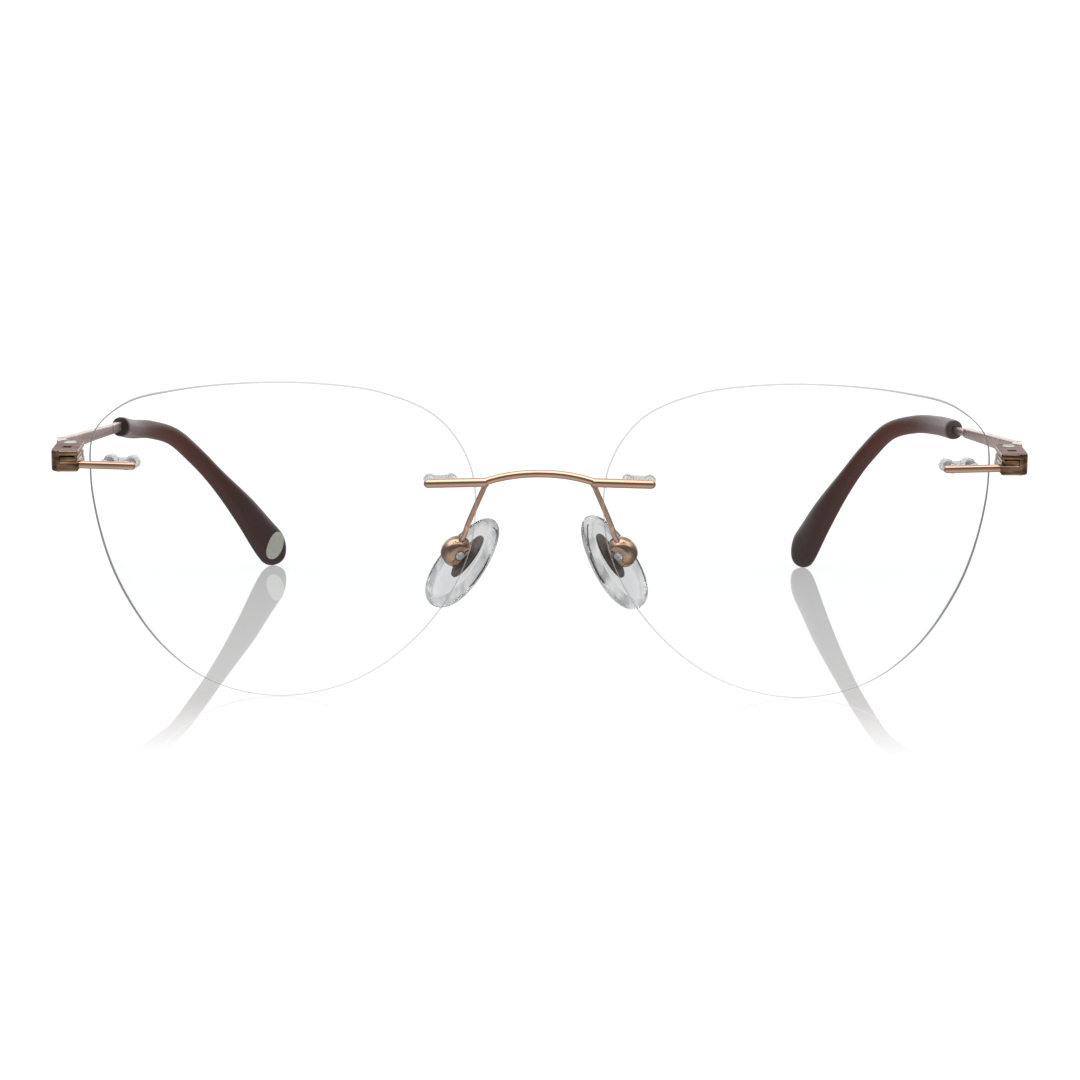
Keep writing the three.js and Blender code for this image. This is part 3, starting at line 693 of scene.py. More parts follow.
def lens_rim_painted_shade():
    """Front rim of the ground edge: a painted grey line standing for the dark edge the thick glass
    shows, darkest beside the temples and palest below.
    """
    n = Nodes("lens_rim_painted_shade")
    n.set(IOR=1.5, Roughness=0.35)
    # Painted shade: the line is darker beside the temples and paler towards the bottom; grain below
    # holds this painted shade plus a little noise.
    beside = n.ranged(n.maths("ABSOLUTE", n.axis("X")), 0.0, 1.0, 0.036, 0.057)
    above = n.ranged(n.axis("Z"), 0.0, 1.0, 0.001, 0.013)
    level = n.maths("MULTIPLY_ADD", above, 0.34, n.maths("MULTIPLY", beside, 0.62))
    grain = n.maths("MULTIPLY_ADD", n.noise(1800, 3), 0.08, level)
    n.base(n.ramp(grain, [
        (0.02, (0.46, 0.46, 0.44)), (0.36, (0.34, 0.34, 0.335)), (1.0, (0.20, 0.205, 0.205))]))
    n.link(n.ranged(grain, 0.40, 0.85, 0.0, 1.0), n.shader.inputs["Alpha"])
    return n.material


def lens_edge():
    """Rest of the ground and polished edge: nearly clear, with a trace of grey."""
    n = Nodes("lens_edge")
    n.set(IOR=1.33, Alpha=0.07)
    fine = n.noise(3000, 3, (1, 6, 1))
    n.base(n.ramp(fine, [(0.3, (0.42, 0.43, 0.43)), (0.7, (0.6, 0.61, 0.61))]))
    n.rough(fine, 0.2, 0.4)
    return n.material


def matte(name, dark, light, roughness, grain=3000, bump=0.15):
    """Smooth plastic or paint with a fine, low grain."""
    n = Nodes(name)
    fine = n.noise(grain, 4)
    n.base(n.ramp(fine, [(0.3, dark), (0.7, light)]))
    n.rough(fine, *roughness)
    n.bump(fine, bump)
    return n.material


ROSE = plated_metal(
    "rose_gold", (0.70, 0.44, 0.31), (0.77, 0.50, 0.36), (0.06, 0.11), bump=0.03)
# Painted shade: a much darker copy of the rose gold for the hinge block, its mottling drawn out into
# bands of dark and light.
BLOCK = plated_metal(
    "rose_block_painted_shade", (0.15, 0.082, 0.043), (0.52, 0.335, 0.215), (0.08, 0.16), bump=0.04,
    drift=(760, 3, (0.5, 0.8, 1.7)))
# Painted shade: a darker, mottled copy of the rose gold for the pad box, standing for the dark and
# bright reflections of its polished dome.
BOX = plated_metal(
    "rose_box_painted_shade", (0.30, 0.18, 0.115), (0.64, 0.425, 0.305), (0.06, 0.12), bump=0.04,
    drift=(520, 3, (1, 1, 1)))
# Painted highlight: a pale greyish copy of the rose gold on the block's top face, standing for the
# silvery light the upward face catches.
TOP = plated_metal(
    "rose_top_painted_highlight", (0.30, 0.245, 0.235), (0.52, 0.45, 0.44), (0.12, 0.2), bump=0.05,
    drift=(600, 3, (0.5, 1.2, 1)), graze=(0.45, 0.38, 0.37))
PALE = plated_metal(
    "pale_rose", (0.72, 0.605, 0.575), (0.86, 0.74, 0.705), (0.2, 0.25), (1, 0.06, 1), 4200, 0.02,
    graze=(0.92, 0.86, 0.85))
SILVER = plated_metal("silver", (0.60, 0.60, 0.58), (0.74, 0.74, 0.72), (0.18, 0.28))
TIP = tip_plastic()
PLUG = clear_plastic("plug_clear", (0.88, 0.895, 0.89), (0.03, 0.07), 1.22)
PAD = clear_plastic("pad_clear", (0.935, 0.945, 0.95), (0.03, 0.06), 1.2)
# The pad's side band: a darker grey tint with painted streaks, the shade and highlights of bent
# light.
PAD_BAND = clear_plastic("pad_band_painted_streaks", (0.70, 0.715, 0.725), (0.05, 0.10), 1.2, 0.5)
LENS = lens_surface()
RIM = lens_rim_painted_shade()
EDGE = lens_edge()
CORE = matte("core_taupe", (0.075, 0.06, 0.05), (0.15, 0.125, 0.108), (0.35, 0.5), 900)
BADGE = matte("badge_grey", (0.33, 0.335, 0.295), (0.39, 0.395, 0.35), (0.3, 0.42), 1500, 0.05)

# ---- Lenses, pins and plugs ----

LENS_SIDES = 320
LENS_BEVEL = 0.15


def edge_line_depth(outward):
    """How far the painted dark line reaches back from the front rim: widest towards the temples."""
    return 0.4 + 1.0 * smoothstep(outward, 8.0, 23.0)


def face_band(outward, up):
    """How far the same painted dark line reaches in over the front face, beside the temples."""
    return 0.02 + 0.16 * smoothstep(outward, 8.0, 21.0) * (1 - smoothstep(up, 3.0, 11.0))


def lens_rings():
    """Rings of the lens from the middle of its front, over its edge, to the middle of its back."""
    edge = evenly(spline(LENS_OUTLINE, closed=True), np.arange(LENS_SIDES) / LENS_SIDES, True)
    along = np.roll(edge, -1, 0) - np.roll(edge, 1, 0)
    normal = np.stack([along[:, 1], -along[:, 0]], -1)
    normal /= np.linalg.norm(normal, axis=1)[:, None]
    if np.mean(np.sum(normal * edge, 1)) < 0:
        normal = -normal
    front = lambda o: LENS_RADIUS - np.sqrt(LENS_RADIUS ** 2 - np.sum(o ** 2, 1))
    inner = LENS_RADIUS - LENS_THICKNESS
    back = lambda o: LENS_RADIUS - np.sqrt(inner ** 2 - np.sum(o ** 2, 1))
    ring = lambda o, depth: np.stack([o[:, 0], depth, o[:, 1]], -1)
    rim = edge - LENS_BEVEL * normal
    shares = (0.01, 0.2, 0.4, 0.6, 0.8, 0.92)
    turn = np.linspace(0, math.pi / 2, 4)
    rings = [ring(rim * share, front(rim * share)) for share in shares]
    band = rim - np.array([[face_band(x, z)] for x, z in edge]) * normal
    rings.append(ring(band, front(band)))
    for a in turn:
        o = edge - LENS_BEVEL * (1 - math.sin(a)) * normal
        rings.append(ring(o, front(o) + LENS_BEVEL * (1 - math.cos(a))))
    line = np.array([edge_line_depth(x) for x in edge[:, 0]])
    rings.append(ring(edge, front(edge) + line))
    for a in turn[::-1]:
        o = edge - LENS_BEVEL * (1 - math.sin(a)) * normal
        rings.append(ring(o, back(o) - LENS_BEVEL * (1 - math.cos(a))))
    rings += [ring(rim * share, back(rim * share)) for share in shares[::-1]]
    return np.array(rings)


def lens_shell():
    v, f = loft(lens_rings())
    v = place(turned_z(LENS_WRAP, (*LENS_CENTRE, 0)), v)
    holes = [
        rod(LENS_HOLE, -2, 5, site, x=side * pitch / 2, sides=28)
        for site, pitch in ((BRIDGE_FRAME, BRIDGE_SITE[2]), (END_FRAME, END_SITE[2]))
        for side in (-1, 1)]
    return shaped((v, f), cut=holes)


def edge_slots(mesh):
    """Gives the rim's front line, which carries the painted grey shade, and the rest of the ground
    edge their own materials.
    """
    ball = LEAN_MATRIX @ np.array([BALL[0], BALL[1], 0]) + FRONT_PLACE
    fine = np.arange(8 * LENS_SIDES) / (8 * LENS_SIDES)
    outline = evenly(spline(LENS_OUTLINE, closed=True), fine, True)
    to_lens = np.linalg.inv(turned_z(LENS_WRAP, (*LENS_CENTRE, 0)))
    for polygon in mesh.polygons:
        centre = np.array(polygon.center) / MM
        normal = np.array(polygon.normal)
        if centre[0] < 0:
            centre[0], normal[0] = -centre[0], -normal[0]
        reach = centre - ball
        depth = LENS_RADIUS - np.linalg.norm(reach)
        if abs(unit(reach) @ normal) > 0.985:
            x, _, z = place(to_lens, [face_place(polygon)])[0]
            inside = np.min(np.hypot(outline[:, 0] - x, outline[:, 1] - z))
            if depth < 0.1 and inside < LENS_BEVEL + face_band(x, z):
                polygon.material_index = 1
            continue
        on_rim = depth < edge_line_depth(centre[0] - LENS_CENTRE[0]) * 0.98
        polygon.material_index = 1 if on_rim else 2


def plug_shell(site_matrix, pitch, length=PLUG_LENGTH, radius=PLUG_RADIUS):
    base = LENS_THICKNESS + PLUG_GAP
    top = base + length
    round_by = 0.42
    cap = [(radius - round_by * (1 - math.cos(a)), top - round_by * (1 - math.sin(a)))
           for a in np.linspace(0, math.pi / 2, 7)]
    parts = []
    for side in (-1, 1):
        shift = np.eye(4)
        shift[0, 3] = side * pitch / 2
        foot = [(PLUG_NECK, 0.05), (PLUG_NECK, base), (radius - 0.08, base),
                (radius, base + 0.08)]
        parts.append(turned([*foot, *cap], site_matrix @ shift, 40))
    web = block((-pitch / 2, base + 0.04, -0.55), (pitch / 2, top - 0.3, 0.55), site_matrix)
    web = shaped(web, bevel=0.22, bevel_steps=4)
    bores = [rod(PLUG_BORE, -1, 6, site_matrix, x=side * pitch / 2, sides=28) for side in (-1, 1)]
    return shaped(parts[0], add=[parts[1], web], cut=bores)


def pins(site_matrix, pitch, length=PLUG_LENGTH):
    end = LENS_THICKNESS + PLUG_GAP + length - 0.15
    return [
        rod(PIN_RADIUS, -0.5, end, site_matrix, x=side * pitch / 2, sides=28, round_by=0.12)
        for side in (-1, 1)]


# ---- Bridge and pad arms ----


def bridge_shell():
    y = -BRIDGE_BAR - LENS_GAP
    start, end = BRIDGE_BAR_ENDS
    ends = place(BRIDGE_FRAME, [(start, y, 0), (end, y, 0)])
    right = tube(np.linspace(*ends, 4), BRIDGE_BAR, 40, (True, True))
    pin_shells = pins(BRIDGE_FRAME, BRIDGE_SITE[2], BRIDGE_PLUG[0])
    mirrored = lambda s: (s[0] * np.array([-1, 1, 1]), [face[::-1] for face in s[1]])
    foot = place(BRIDGE_FRAME, [(start - 0.05, y, 0.06)])[0]
    s = np.linspace(-1, 1, 64)
    rise = (BRIDGE_RISE_Z - foot[2]) * (1 - np.abs(s) ** BRIDGE_FULLNESS)
    bow = BRIDGE_BOW / 2 * (1 - s ** 2)
    arch = np.stack([s * foot[0], foot[1] + bow, foot[2] + rise], -1)
    wire = tube(arch, BRIDGE_WIRE, 32, (True, True))
    others = [mirrored(right), *pin_shells, *[mirrored(p) for p in pin_shells]]
    return shaped(wire, add=[right, *others], voxel=0.05, smooth=14)


def pad_arm_shell():
    root = place(BOX_FRAME, [(-1.1, 0.1, 0.8)])
    path = spline(np.concatenate([np.array(PAD_ARM_PATH, float), root]), per=10)
    wire = tube(path, PAD_ARM_RADIUS, 28, (False, True))
    solder = flared(path[:9], 0.5, PAD_ARM_RADIUS)
    collar = flared(path[:-12:-1], 0.6, PAD_ARM_RADIUS)
    dome = []
    for a in np.linspace(-math.pi / 2 + 0.03, math.pi / 2 - 0.03, 33):
        dome.append((PAD_BOX_RADIUS * math.cos(a), PAD_BOX_HALF_DEPTH * math.sin(a)))
    box = turned(dome, BOX_FRAME, 64)
    facet = block((-4, -4, -4), (4, -PAD_BOX_FACET, 4), BOX_FRAME)
    slot = block((-1.3, -PAD_SLOT / 2, -4), (4, PAD_SLOT / 2, 4), BOX_FRAME)
    mouth = block((PAD_BOX_OPEN, -4, -4), (4, 4, 4), BOX_FRAME)
    bore = rod(0.44, -4, PAD_BOX_HALF_DEPTH - 0.35, BOX_FRAME, sides=32)
    sink = rod(0.7, -4, -PAD_BOX_FACET + 0.4, BOX_FRAME, sides=40)
    return shaped(
        box, add=[collar, solder, wire], cut=[facet, slot, mouth, bore, sink],
        voxel=0.05, smooth=5)


def box_slots(mesh):
    """Darker, mottled rose gold with painted shade on the pad box; plain rose gold on the wire."""
    for polygon in mesh.polygons:
        if math.dist(face_place(polygon), PAD_BOX_CENTRE) < PAD_BOX_RADIUS + 0.15:
            polygon.material_index = 1


def pad_screw_shell():
    face = -PAD_BOX_FACET
    head = rod(0.66, face - 0.05, face + 0.36, BOX_FRAME, sides=40, round_by=0.12)
    shank = rod(0.4, face + 0.3, PAD_BOX_HALF_DEPTH - 0.4, BOX_FRAME, sides=32)
    slot = block((-1, face - 1, -0.08), (1, face + 0.1, 0.08), BOX_FRAME)
    return shaped(head, add=[shank], cut=[slot])


# ---- Nose pads ----


def pad_slots(side):
    """Gives the band round the pad's side its own material: a darker grey with painted streaks of
    shade and highlight.
    """
    to_pad = np.linalg.inv(PAD_FRAME)

    def mark(mesh):
        for polygon in mesh.polygons:
            at = place(np.linalg.inv(rocked(PAD_TURN[side])), [face_place(polygon)])
            x, level, z = place(to_pad, at)[0]
            z -= PAD_RAISED
            reach = math.hypot(x / (PAD_HALF[0] * (1 - PAD_TAPER * z / PAD_HALF[1])),
                               z / (PAD_HALF[1] + PAD_LONGER))
            polygon.material_index = 1 if reach > PAD_BAND_FROM and level > -0.9 else 0
    return mark


def oval(half_width, half_length, taper, sides=72):
    ring = circle(sides)
    width = half_width * (1 - taper * ring[:, 1])
    return np.stack([width * ring[:, 0], half_length * ring[:, 1]], -1)


def level_ring(outline, level, aside, up):
    """A plan outline as a ring at one level of the pad, moved aside and up along it."""
    return np.stack(
        [outline[:, 0] + aside, np.full(len(outline), level), outline[:, 1] + up], -1)


def nose_pad_shell():
    """Pillow with a round rim and a dished face, as a stack of ovals: (inset, level)."""
    half = PAD_THICKNESS / 2
    outer = [(1.5, -half), (0.95, -half + 0.04), (0.5, -half + 0.26), (0.16, -half + 0.68),
             (0.0, -0.1), (0.05, 0.35), (0.24, 0.8), (0.52, half - 0.1), (0.8, half),
             (1.05, half - 0.1), (1.25, half - 0.32), (1.5, CORE_TOP + 0.01), (1.9, CORE_TOP - 0.03)]
    section = spline(outer, per=5)
    rings = []
    shares = (0.02, 0.35, 0.7)
    for share in shares:
        back = oval(PAD_HALF[0] - 1.5, PAD_HALF[1] - 1.5, PAD_TAPER) * share
        rings.append(level_ring(back, -half, 0.0, PAD_RAISED))
    for inset, level in section:
        ring = oval(PAD_HALF[0] - inset, PAD_HALF[1] + PAD_LONGER - inset, PAD_TAPER)
        rings.append(level_ring(ring, level, 0.0, PAD_RAISED))
    for share in shares[::-1]:
        dish = oval(PAD_HALF[0] - 1.9, PAD_HALF[1] - 1.9, PAD_TAPER) * share
        rings.append(level_ring(dish, CORE_TOP - 0.05, 0.0, PAD_RAISED))
    v, f = loft(rings)
    return place(PAD_FRAME, v), f


def pad_core_shell():
    levels = [(0.12, CORE_TOP - CORE_THICKNESS), (0.0, CORE_TOP - CORE_THICKNESS + 0.12),
              (0.0, CORE_TOP - 0.08), (0.03, CORE_TOP), (0.1, CORE_TOP + 0.03)]
    plate_v, plate_f = loft([
        level_ring(oval(CORE_HALF[0] - inset, CORE_HALF[1] - inset, 0.0), level,
                   CORE_ASIDE, CORE_MIDDLE)
        for inset, level in levels])
    plate = (place(PAD_FRAME, plate_v), plate_f)
    half = PAD_SLOT / 2 - 0.05
    eye = rod(PAD_PIVOT, -half, half, BOX_FRAME, sides=48)
    reach = block((0, -half, -PAD_PIVOT), (5, half, PAD_PIVOT), BOX_FRAME)
    below = block((-9, -9, -9), (9, CORE_TOP - 0.1, 9), PAD_FRAME)
    lug = shaped(eye, add=[reach], cut=[below])
    bore = rod(0.44, -2, 2, BOX_FRAME, sides=28)
    return shaped(plate, add=[lug], cut=[bore], bevel=0.05)


# ---- Endpieces and hinges ----


def end_bar_shell():
    ends = place(END_FRAME, [
        (END_BAR_ENDS[0], -END_BAR_DEEP - LENS_GAP, 0.08),
        (END_BAR_ENDS[1], -END_BAR_DEEP - LENS_GAP, -0.1)])
    along = unit(ends[1] - ends[0])
    across = unit(np.cross(along, (0, 0, 1)))
    over = np.cross(across, along)
    ring = circle(40)
    power = 2 / 2.6
    ring = np.sign(ring) * np.abs(ring) ** power
    length = np.linalg.norm(ends[1] - ends[0])
    rings = []
    for a in np.linspace(0.06, math.pi / 2, 9):
        d = 0.5 * (1 - math.cos(a))
        scale = math.sin(a) ** 0.8
        rings.append(ends[0] + along * d + scale * (
            END_BAR_DEEP * ring[:, :1] * across + END_BAR_HIGH * ring[:, 1:] * over))
    for d in np.linspace(0.6, length, 6):
        rings.append(ends[0] + along * d + (
            END_BAR_DEEP * ring[:, :1] * across + END_BAR_HIGH * ring[:, 1:] * over))
    return loft(rings)


def block_plan(front=0.0, inner=0.0):
    """Plan of the hinge block: soft outer front corner, round rear about the hinge axis."""
    hx, hy = HINGE_POINT[:2]
    x0, x1 = BLOCK_X[0] + inner, BLOCK_X[1] - 0.4 * front
    y0 = BLOCK_FRONT_Y + front
    sharp, soft = 0.4, 1.35 - 0.5 * front
    points = arc(hx, hy, LUG_RADIUS - inner, 0, 180, 33)
    points += arc(x0 + sharp, y0 + sharp, sharp, 180, 270, 9)
    points += arc(x1 - soft, y0 + soft, soft, 270, 360, 15)
    kept = [points[0]]
    for p in points[1:]:
        if math.dist(p, kept[-1]) > 0.02:
            kept.append(p)
    return kept


def outer_plan(inner_x, proud):
    """The outer part of the block's plan, from inner_x to its rounded side, a hair proud."""
    rear = HINGE_POINT[1]
    points = [(x + proud, y - proud) for x, y in block_plan(front=0.0) if x > inner_x and y < rear]
    points.sort(key=lambda p: (p[1], p[0]))
    return [(inner_x, BLOCK_FRONT_Y - proud), *points, (BLOCK_X[1] + proud, rear), (inner_x, rear)]


def endpiece_shell():
    """Hinge block of stacked plates around a recessed core, with the bar that grips the lens."""
    hy = HINGE_POINT[1]
    z0, z1 = BLOCK_Z
    low_plate = prism(block_plan(), z0, LOW_PLATE_TOP, bevel=0.2)
    middle = prism(block_plan(front=0.22, inner=0.1), *MIDDLE_PLATE_Z, bevel=0.12)
    top_plate = prism(block_plan(), TOP_PLATE_FOOT, z1, bevel=0.2)
    core = prism(block_plan(front=0.85, inner=0.55), z0 + 0.4, z1 - 0.4)
    side = prism(
        outer_plan(SIDE_FROM_X, SIDE_PROUD), z0 - SIDE_PROUD, z1 + SIDE_PROUD, bevel=0.2)
    fork = block((60, hy - LUG_RADIUS, KNUCKLE_Z[0] - 0.04), (68, 14, KNUCKLE_Z[1] + 0.04))
    pocket = block((63.5, 4.6, 11.45), (64.7, 5.7, 13))
    bore = hinge_post(HINGE_SCREW_RADIUS + 0.03, *THROUGH_BLOCK)
    sink = hinge_post(HINGE_SCREW_HEAD + 0.03, z1 - 0.35, THROUGH_BLOCK[1])
    end_pins = pins(END_FRAME, END_SITE[2])
    plates = [low_plate, middle, top_plate, side]
    return shaped(core, add=[*plates, end_bar_shell(), *end_pins], cut=[fork, pocket, bore, sink],
                  voxel=0.06, smooth=4)


def endpiece_slots(mesh):
    """Block in a dark copy of the rose gold (painted shade), top face in a pale grey copy (painted
    highlight), and rose gold bar and pins.
    """
    for polygon in mesh.polygons:
        x, _, z = face_place(polygon)
        if x < BLOCK_X[0] - 0.15:
            polygon.material_index = 2
        elif z > BLOCK_Z[1] - 0.12 and polygon.normal[2] > 0.8:
            polygon.material_index = 1


def hinge_screw_shell():
    hx, hy = HINGE_POINT[:2]
    top = BLOCK_Z[1] - 0.02
    head = hinge_post(HINGE_SCREW_HEAD, BLOCK_Z[1] - 0.32, top, round_by=0.08)
    shank = hinge_post(HINGE_SCREW_RADIUS, BLOCK_Z[0] + 0.05, top - 0.1)
    slot = block((hx - 2, hy - 0.12, top - 0.16), (hx + 2, hy + 0.12, 13))
    return shaped(head, add=[shank], cut=[slot])


# ---- Temples and tips ----


def upright_sweep(path, sizes, power, sides, shares):
    """Bar whose section stays upright: sizes(share) gives its half width and half height."""
    curve = spline(from_table(path), power=1.0, per=40)
    at = evenly(curve, shares)
    ahead = evenly(curve, np.minimum(shares + 0.002, 1.0))
    behind = evenly(curve, np.maximum(shares - 0.002, 0.0))
    ring = circle(sides)
    ring = np.sign(ring) * np.abs(ring) ** (2 / power)
    rings = []
    for i, share in enumerate(shares):
        along = unit(ahead[i] - behind[i])
        across = unit(np.cross(along, (0, 0, 1)))
        over = np.cross(across, along)
        half_width, half_height = sizes(share)
        rings.append(
            at[i] + half_width * ring[:, :1] * across + half_height * ring[:, 1:] * over)
    return loft(rings)


def tip_size(t):
    bend = smoothstep(t, 0.1, 0.6)
    swell = smoothstep(t, 0.6, 0.96)
    past = min(0.9995, max(0.0, (t - 0.94) / 0.06))
    lip = 1 - 0.1 * (1 - min(1.0, (t - SLEEVE_START) / 0.012)) ** 2
    mouth = 0.27 * (1 - smoothstep(t, 0.14, 0.45))
    width = (1.2 + mouth + 0.1 * bend) * (1 - past ** 4) ** 0.25 * lip
    return width, (1.3 + mouth + 0.24 * bend + 1.79 * swell) * (1 - past ** 2) ** 0.5 * lip


def tip_shares():
    start = SLEEVE_START + 0.012 * (1 - np.cos(np.linspace(0, math.pi / 2, 7)))
    main = np.linspace(SLEEVE_START + 0.02, 0.93, 80)
    end = 0.94 + 0.06 * np.sin(np.linspace(0, math.pi / 2, 22))
    return np.concatenate([start, main, end])


def core_size(gap):
    return lambda t: (0.4 + gap, 0.6 + gap)


def badge_frame():
    curve = spline(from_table(TIP_PATHS["left"]), power=1.0, per=40)
    middle, ahead, behind = evenly(curve, [BADGE_AT, BADGE_AT + 0.002, BADGE_AT - 0.002])
    along = unit(ahead - behind)
    inward = unit(np.cross((0, 0, 1), along))
    over = np.cross(along, inward)
    return basis(middle + inward * tip_size(BADGE_AT)[0], BADGE_NARROW * along, inward, over)


def tip_shell(side):
    sleeve = upright_sweep(TIP_PATHS[side], tip_size, 2.2, 56, tip_shares())
    hollow = upright_sweep(
        TIP_PATHS[side], core_size(0.05), 2.5, 24, np.linspace(0, CORE_END + 0.002, 60))
    cuts = [hollow]
    if side == "left":
        cuts.append(rod(BADGE_RADIUS + 0.03, -0.38, 3, badge_frame(), sides=64))
    return shaped(sleeve, cut=cuts)


def badge_shell():
    r = BADGE_RADIUS
    profile = [(r, -0.35), (r, -0.14), (r - 0.04, -0.06), (r - 0.14, -0.02), (r * 0.6, 0.0),
               (r * 0.2, 0.005)]
    return turned(profile, badge_frame(), 72)


def temple_shell(tip_side):
    """Side bar, hinge knuckle and the core wire; the left bar keeps its height to the sleeve."""
    hx, hy = HINGE_POINT[:2]
    side = upright_sweep(
        BAR_PATH, lambda t: (0.52, 1.1 - 0.33 * t), 6, 48, np.linspace(0, 1, 50))
    eye = hinge_post(KNUCKLE_RADIUS, *KNUCKLE_Z, round_by=0.08)
    neck = prism([(hx - 1.1, hy + 0.2), (hx + 1.5, hy), (66.5, 11.6), (66.5, 13.6), (65.6, 13.6)],
                 *KNUCKLE_Z)
    shoulder = prism([
        (64.2, 11), (65.5, 10.55), (66.45, 11.6), (66.75, 14.4), (65.85, 14.4), (65, 12.2),
    ], 9.05, 11.55)
    around = hinge_post(LUG_RADIUS + 0.12, *THROUGH_BLOCK)
    room = shaped(around, cut=[hinge_post(5, *KNUCKLE_Z)])
    bore = hinge_post(HINGE_SCREW_RADIUS + 0.04, *THROUGH_BLOCK)
    outer = shaped(side, add=[shoulder], cut=[room], bevel=0.08, bevel_steps=3)
    path = TIP_PATHS[tip_side]
    inside = [upright_sweep(path, core_size(0.0), 2.5, 24, np.linspace(0, CORE_END, 60))]
    if tip_side == "left":
        shares = np.linspace(0, SLEEVE_START + 0.01, 12)
        inside.append(upright_sweep(path, lambda t: (0.5, 0.765), 6, 48, shares))
    return shaped(outer, add=[neck, eye, *inside], cut=[bore])


# ---- Assembly ----


def both(name, shell, looks, slot, **more):
    """The same shell on both sides of the front."""
    for side in ("left", "right"):
        piece(f"{side}_{name}", shell, "front", looks, slot, side, **more)


def build():
    both("lens", lens_shell(), [LENS, RIM, EDGE], "lens_clear", slots=edge_slots, crease=30)
    piece("bridge", bridge_shell(), "front", [ROSE], "rose_gold_metal")
    bridge_plug = plug_shell(BRIDGE_FRAME, BRIDGE_SITE[2], *BRIDGE_PLUG)
    both("bridge_bushing", bridge_plug, [PLUG], "plug_clear")
    both("endpiece_bushing", plug_shell(END_FRAME, END_SITE[2]), [PLUG], "plug_clear")
    both("endpiece", endpiece_shell(), [BLOCK, TOP, ROSE], "rose_gold_metal", slots=endpiece_slots)
    both("hinge_screw", hinge_screw_shell(), [SILVER], "silver_metal")
    both("pad_arm", pad_arm_shell(), [ROSE, BOX], "rose_gold_metal", slots=box_slots)
    both("pad_screw", pad_screw_shell(), [SILVER], "silver_metal")
    core, pad = pad_core_shell(), nose_pad_shell()
    for side in ("left", "right"):
        turn = rocked(PAD_TURN[side])
        piece(f"{side}_pad_core", core, f"{side}_pad", [CORE], "core_taupe", side, matrix=turn)
        soft = piece(f"{side}_nose_pad", pad, f"{side}_pad", [PAD, PAD_BAND], "pad_clear", side,
                     matrix=turn, slots=pad_slots(side))
        on = f"{side}_temple"
        piece(f"{side}_temple", temple_shell(side), on, [PALE], "pale_rose_metal", side)
        piece(f"{side}_temple_tip", tip_shell(side), on, [TIP], "tip_brown", side)
    piece("left_tip_badge", badge_shell(), "left_temple", [BADGE], "badge_grey", "left")


build()

# ---- Camera, floor and light ----

CAMERA_LENS = 110.17
CAMERA_BACK = 0.44402
CAMERA_UP = 0.08125
CAMERA_PITCH = math.radians(7.65)
CAMERA_YAW = math.radians(-0.15)
CAMERA_ROLL = math.radians(0.25)
CAMERA_SHIFT = 0.6 / 1080


def add_camera():
    data = bpy.data.cameras.new("camera")
    data.lens = CAMERA_LENS
    data.sensor_width = 36.0
    data.shift_x = CAMERA_SHIFT
    data.clip_start = 0.02
    data.clip_end = 20.0
    camera = new_object("camera", data)
    yaw = Matrix.Rotation(CAMERA_YAW, 4, "Z")
    level = Matrix.Rotation(math.pi / 2 - CAMERA_PITCH, 4, "X")
    roll = Matrix.Rotation(CAMERA_ROLL, 4, "Z")
    stand = Matrix.Translation(Vector((0, -CAMERA_BACK, CAMERA_UP)))
    camera.matrix_world = Matrix.Translation(Vector(CONTACT)) @ yaw @ stand @ level @ roll
    bpy.context.scene.camera = camera


FLOOR_HALF = 4.0
FLOOR_SINK = 0.00002
FLOOR_POLISH_X = 0.078
FLOOR_POLISH_Y = 0.066
FLOOR_FADE = 0.058
FLOOR_GLOW = 1.03
FLOOR_BLUR = 0.012
FLOOR_GLOSS = 1.28


def add_floor():
    """Pale floor whose polish fades out a few centimetres from the glasses."""
    size = FLOOR_HALF
    mesh = bpy.data.meshes.new("floor_mesh")
    corners = [(-size, -size, 0), (size, -size, 0), (size, size, 0), (-size, size, 0)]
    mesh.from_pydata(corners, [], [(0, 1, 2, 3)])
    floor = new_object("floor", mesh)
    floor.location.z = -FLOOR_SINK
    n = Nodes("floor_pale")
    maths = n.maths
    glow = n.node("ShaderNodeEmission")
    glow.inputs["Strength"].default_value = FLOOR_GLOW
    cover = n.node("ShaderNodeBsdfDiffuse")
    speckle = n.ramp(n.noise(900, 3), [(0.3, (0.14, 0.14, 0.14)), (0.7, (0.16, 0.16, 0.16))])
    n.link(speckle, cover.inputs["Color"])
    pale = n.node("ShaderNodeAddShader")
    n.link(glow.outputs[0], pale.inputs[0])
    n.link(cover.outputs[0], pale.inputs[1])
    mirror = n.node("ShaderNodeBsdfGlossy")
    mirror.inputs["Roughness"].default_value = FLOOR_BLUR
    spans = []
    for which, half in (("X", FLOOR_POLISH_X), ("Y", FLOOR_POLISH_Y)):
        beyond = maths("SUBTRACT", maths("ABSOLUTE", n.axis(which)), half, use_clamp=True)
        spans.append(maths("MULTIPLY", beyond, beyond))
    reach = maths("SQRT", maths("ADD", *spans))
    fade = n.ranged(reach, 1.0, 0.0, 0.0, FLOOR_FADE)
    fresnel = n.node("ShaderNodeFresnel")
    fresnel.inputs["IOR"].default_value = 1.5
    strong = maths("MULTIPLY", fresnel.outputs[0], FLOOR_GLOSS, use_clamp=True)
    n.show_mix(maths("MULTIPLY", strong, fade), pale, mirror)
    mesh.materials.append(n.material)
    floor.visible_glossy = False
    floor.visible_transmission = False


# Brightness round the studio seen from the glasses, by turn about the left-right line: 0 is
# towards the camera, 90 straight up, 180 behind and -90 straight down.
STUDIO = [
    (-180, 0.55), (-150, 0.34), (-120, 0.34), (-90, 0.46), (-52, 0.72), (-26, 0.48), (-6, 0.20),
    (18, 0.13), (34, 0.30), (46, 1.9), (84, 2.0), (98, 0.85), (140, 0.80), (158, 1.14), (180, 1.16),
]
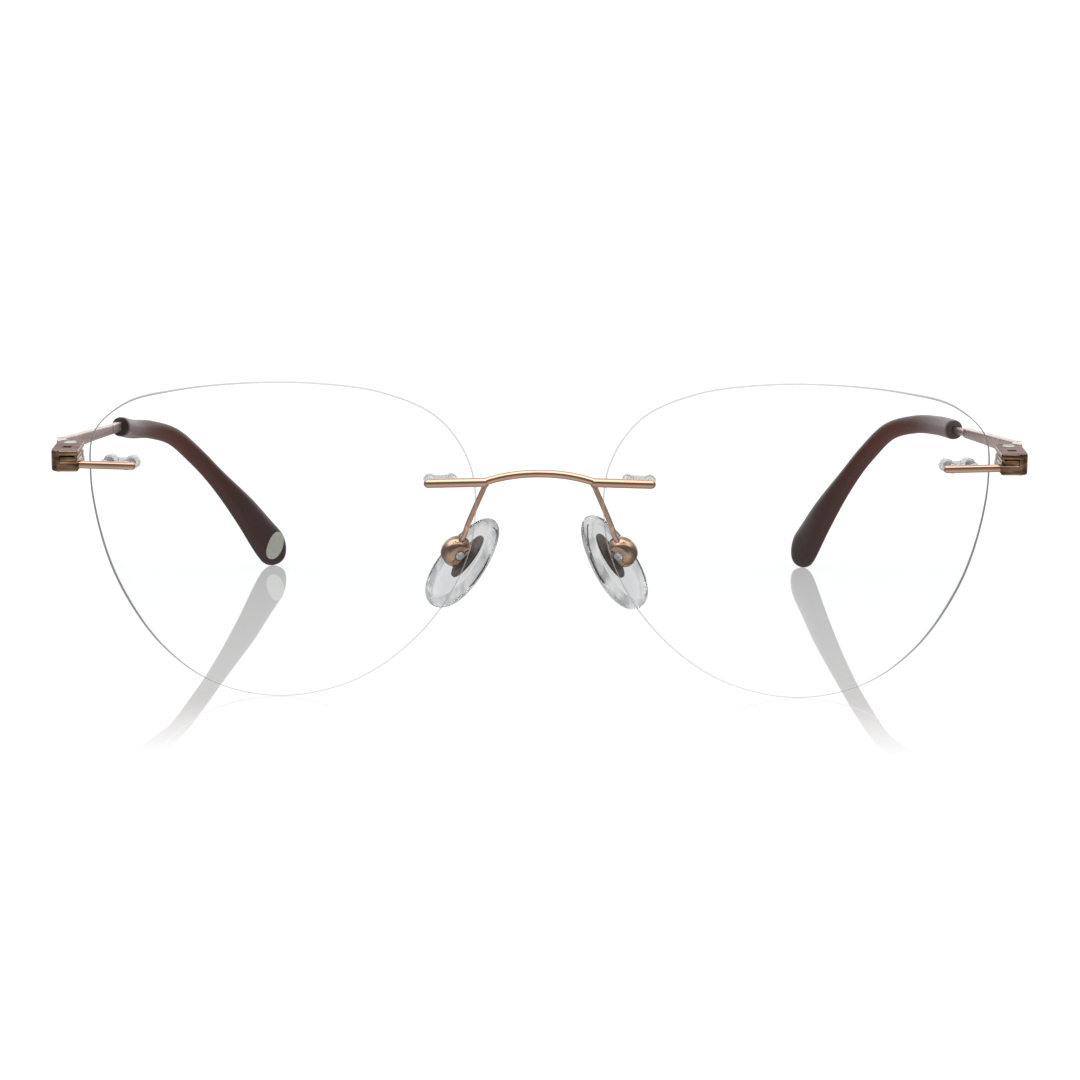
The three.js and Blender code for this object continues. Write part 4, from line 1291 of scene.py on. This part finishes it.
# The same towards the left and right, by height from straight down to straight up.
STUDIO_SIDES = [(-90, 0.46), (-40, 0.40), (-8, 0.22), (14, 0.20), (40, 0.75), (70, 1.6), (90, 1.9)]
BACKDROP = 1.06
THROUGH_CLEAR = 0.74
LAMP_SIZE = (0.5, 0.3)
LAMP_WATTS = 0.2
LAMP_AT = (0.0, -0.22, 0.62)
LAMP_AIM = (0, 0.16, -0.6)


def add_light():
    """Studio all round the glasses, and one soft lamp above."""
    world = bpy.data.worlds.new("studio")
    bpy.context.scene.world = world
    world.use_nodes = True
    t = Tree(world.node_tree)
    t.tree.nodes.clear()
    maths = t.maths
    split = t.node("ShaderNodeSeparateXYZ")
    t.link(t.node("ShaderNodeTexCoord").outputs["Generated"], split.inputs[0])

    def levels(turn, stops, start, end):
        most = max(level for _, level in stops)
        span = end - start
        share = maths("DIVIDE", maths("SUBTRACT", turn, math.radians(start)), math.radians(span))
        shades = [((angle - start) / span, (level / most,) * 3) for angle, level in stops]
        return maths("MULTIPLY", t.ramp(share, shades), most)

    def mixed(share, a, b):
        return maths("ADD", maths("MULTIPLY", maths("SUBTRACT", 1.0, share), a),
                     maths("MULTIPLY", share, b))

    def smooth(value, low, high):
        return t.ranged(value, 0.0, 1.0, low, high, interpolation_type="SMOOTHSTEP")

    turn = maths("ARCTAN2", split.outputs["Z"], maths("MULTIPLY", split.outputs["Y"], -1.0))
    height = maths("ARCSINE", split.outputs["Z"])
    aside = smooth(maths("ABSOLUTE", split.outputs["X"]), 0.55, 0.92)
    studio = mixed(aside, levels(turn, STUDIO, -180, 180), levels(height, STUDIO_SIDES, -90, 90))

    # Seen through clear plastic: the pale backdrop behind, dimmer round the sides.
    through = mixed(smooth(split.outputs["Y"], -0.2, 0.9), studio, THROUGH_CLEAR)
    path = t.node("ShaderNodeLightPath")
    total = mixed(path.outputs["Is Transmission Ray"], studio, through)
    total = mixed(path.outputs["Is Camera Ray"], total, BACKDROP)
    glow = t.node("ShaderNodeBackground")
    glow.inputs["Color"].default_value = (1, 1, 1, 1)
    t.link(total, glow.inputs["Strength"])
    t.link(glow.outputs[0], t.node("ShaderNodeOutputWorld").inputs["Surface"])

    lamp = bpy.data.lights.new("top_softbox", "AREA")
    lamp.shape = "RECTANGLE"
    lamp.size, lamp.size_y = LAMP_SIZE
    lamp.energy = LAMP_WATTS
    holder = new_object("top_softbox", lamp)
    holder.location = LAMP_AT
    holder.rotation_euler = Vector(LAMP_AIM).to_track_quat("-Z", "Y").to_euler()


add_camera()
add_floor()
add_light()
bpy.context.scene.view_settings.view_transform = "Standard"
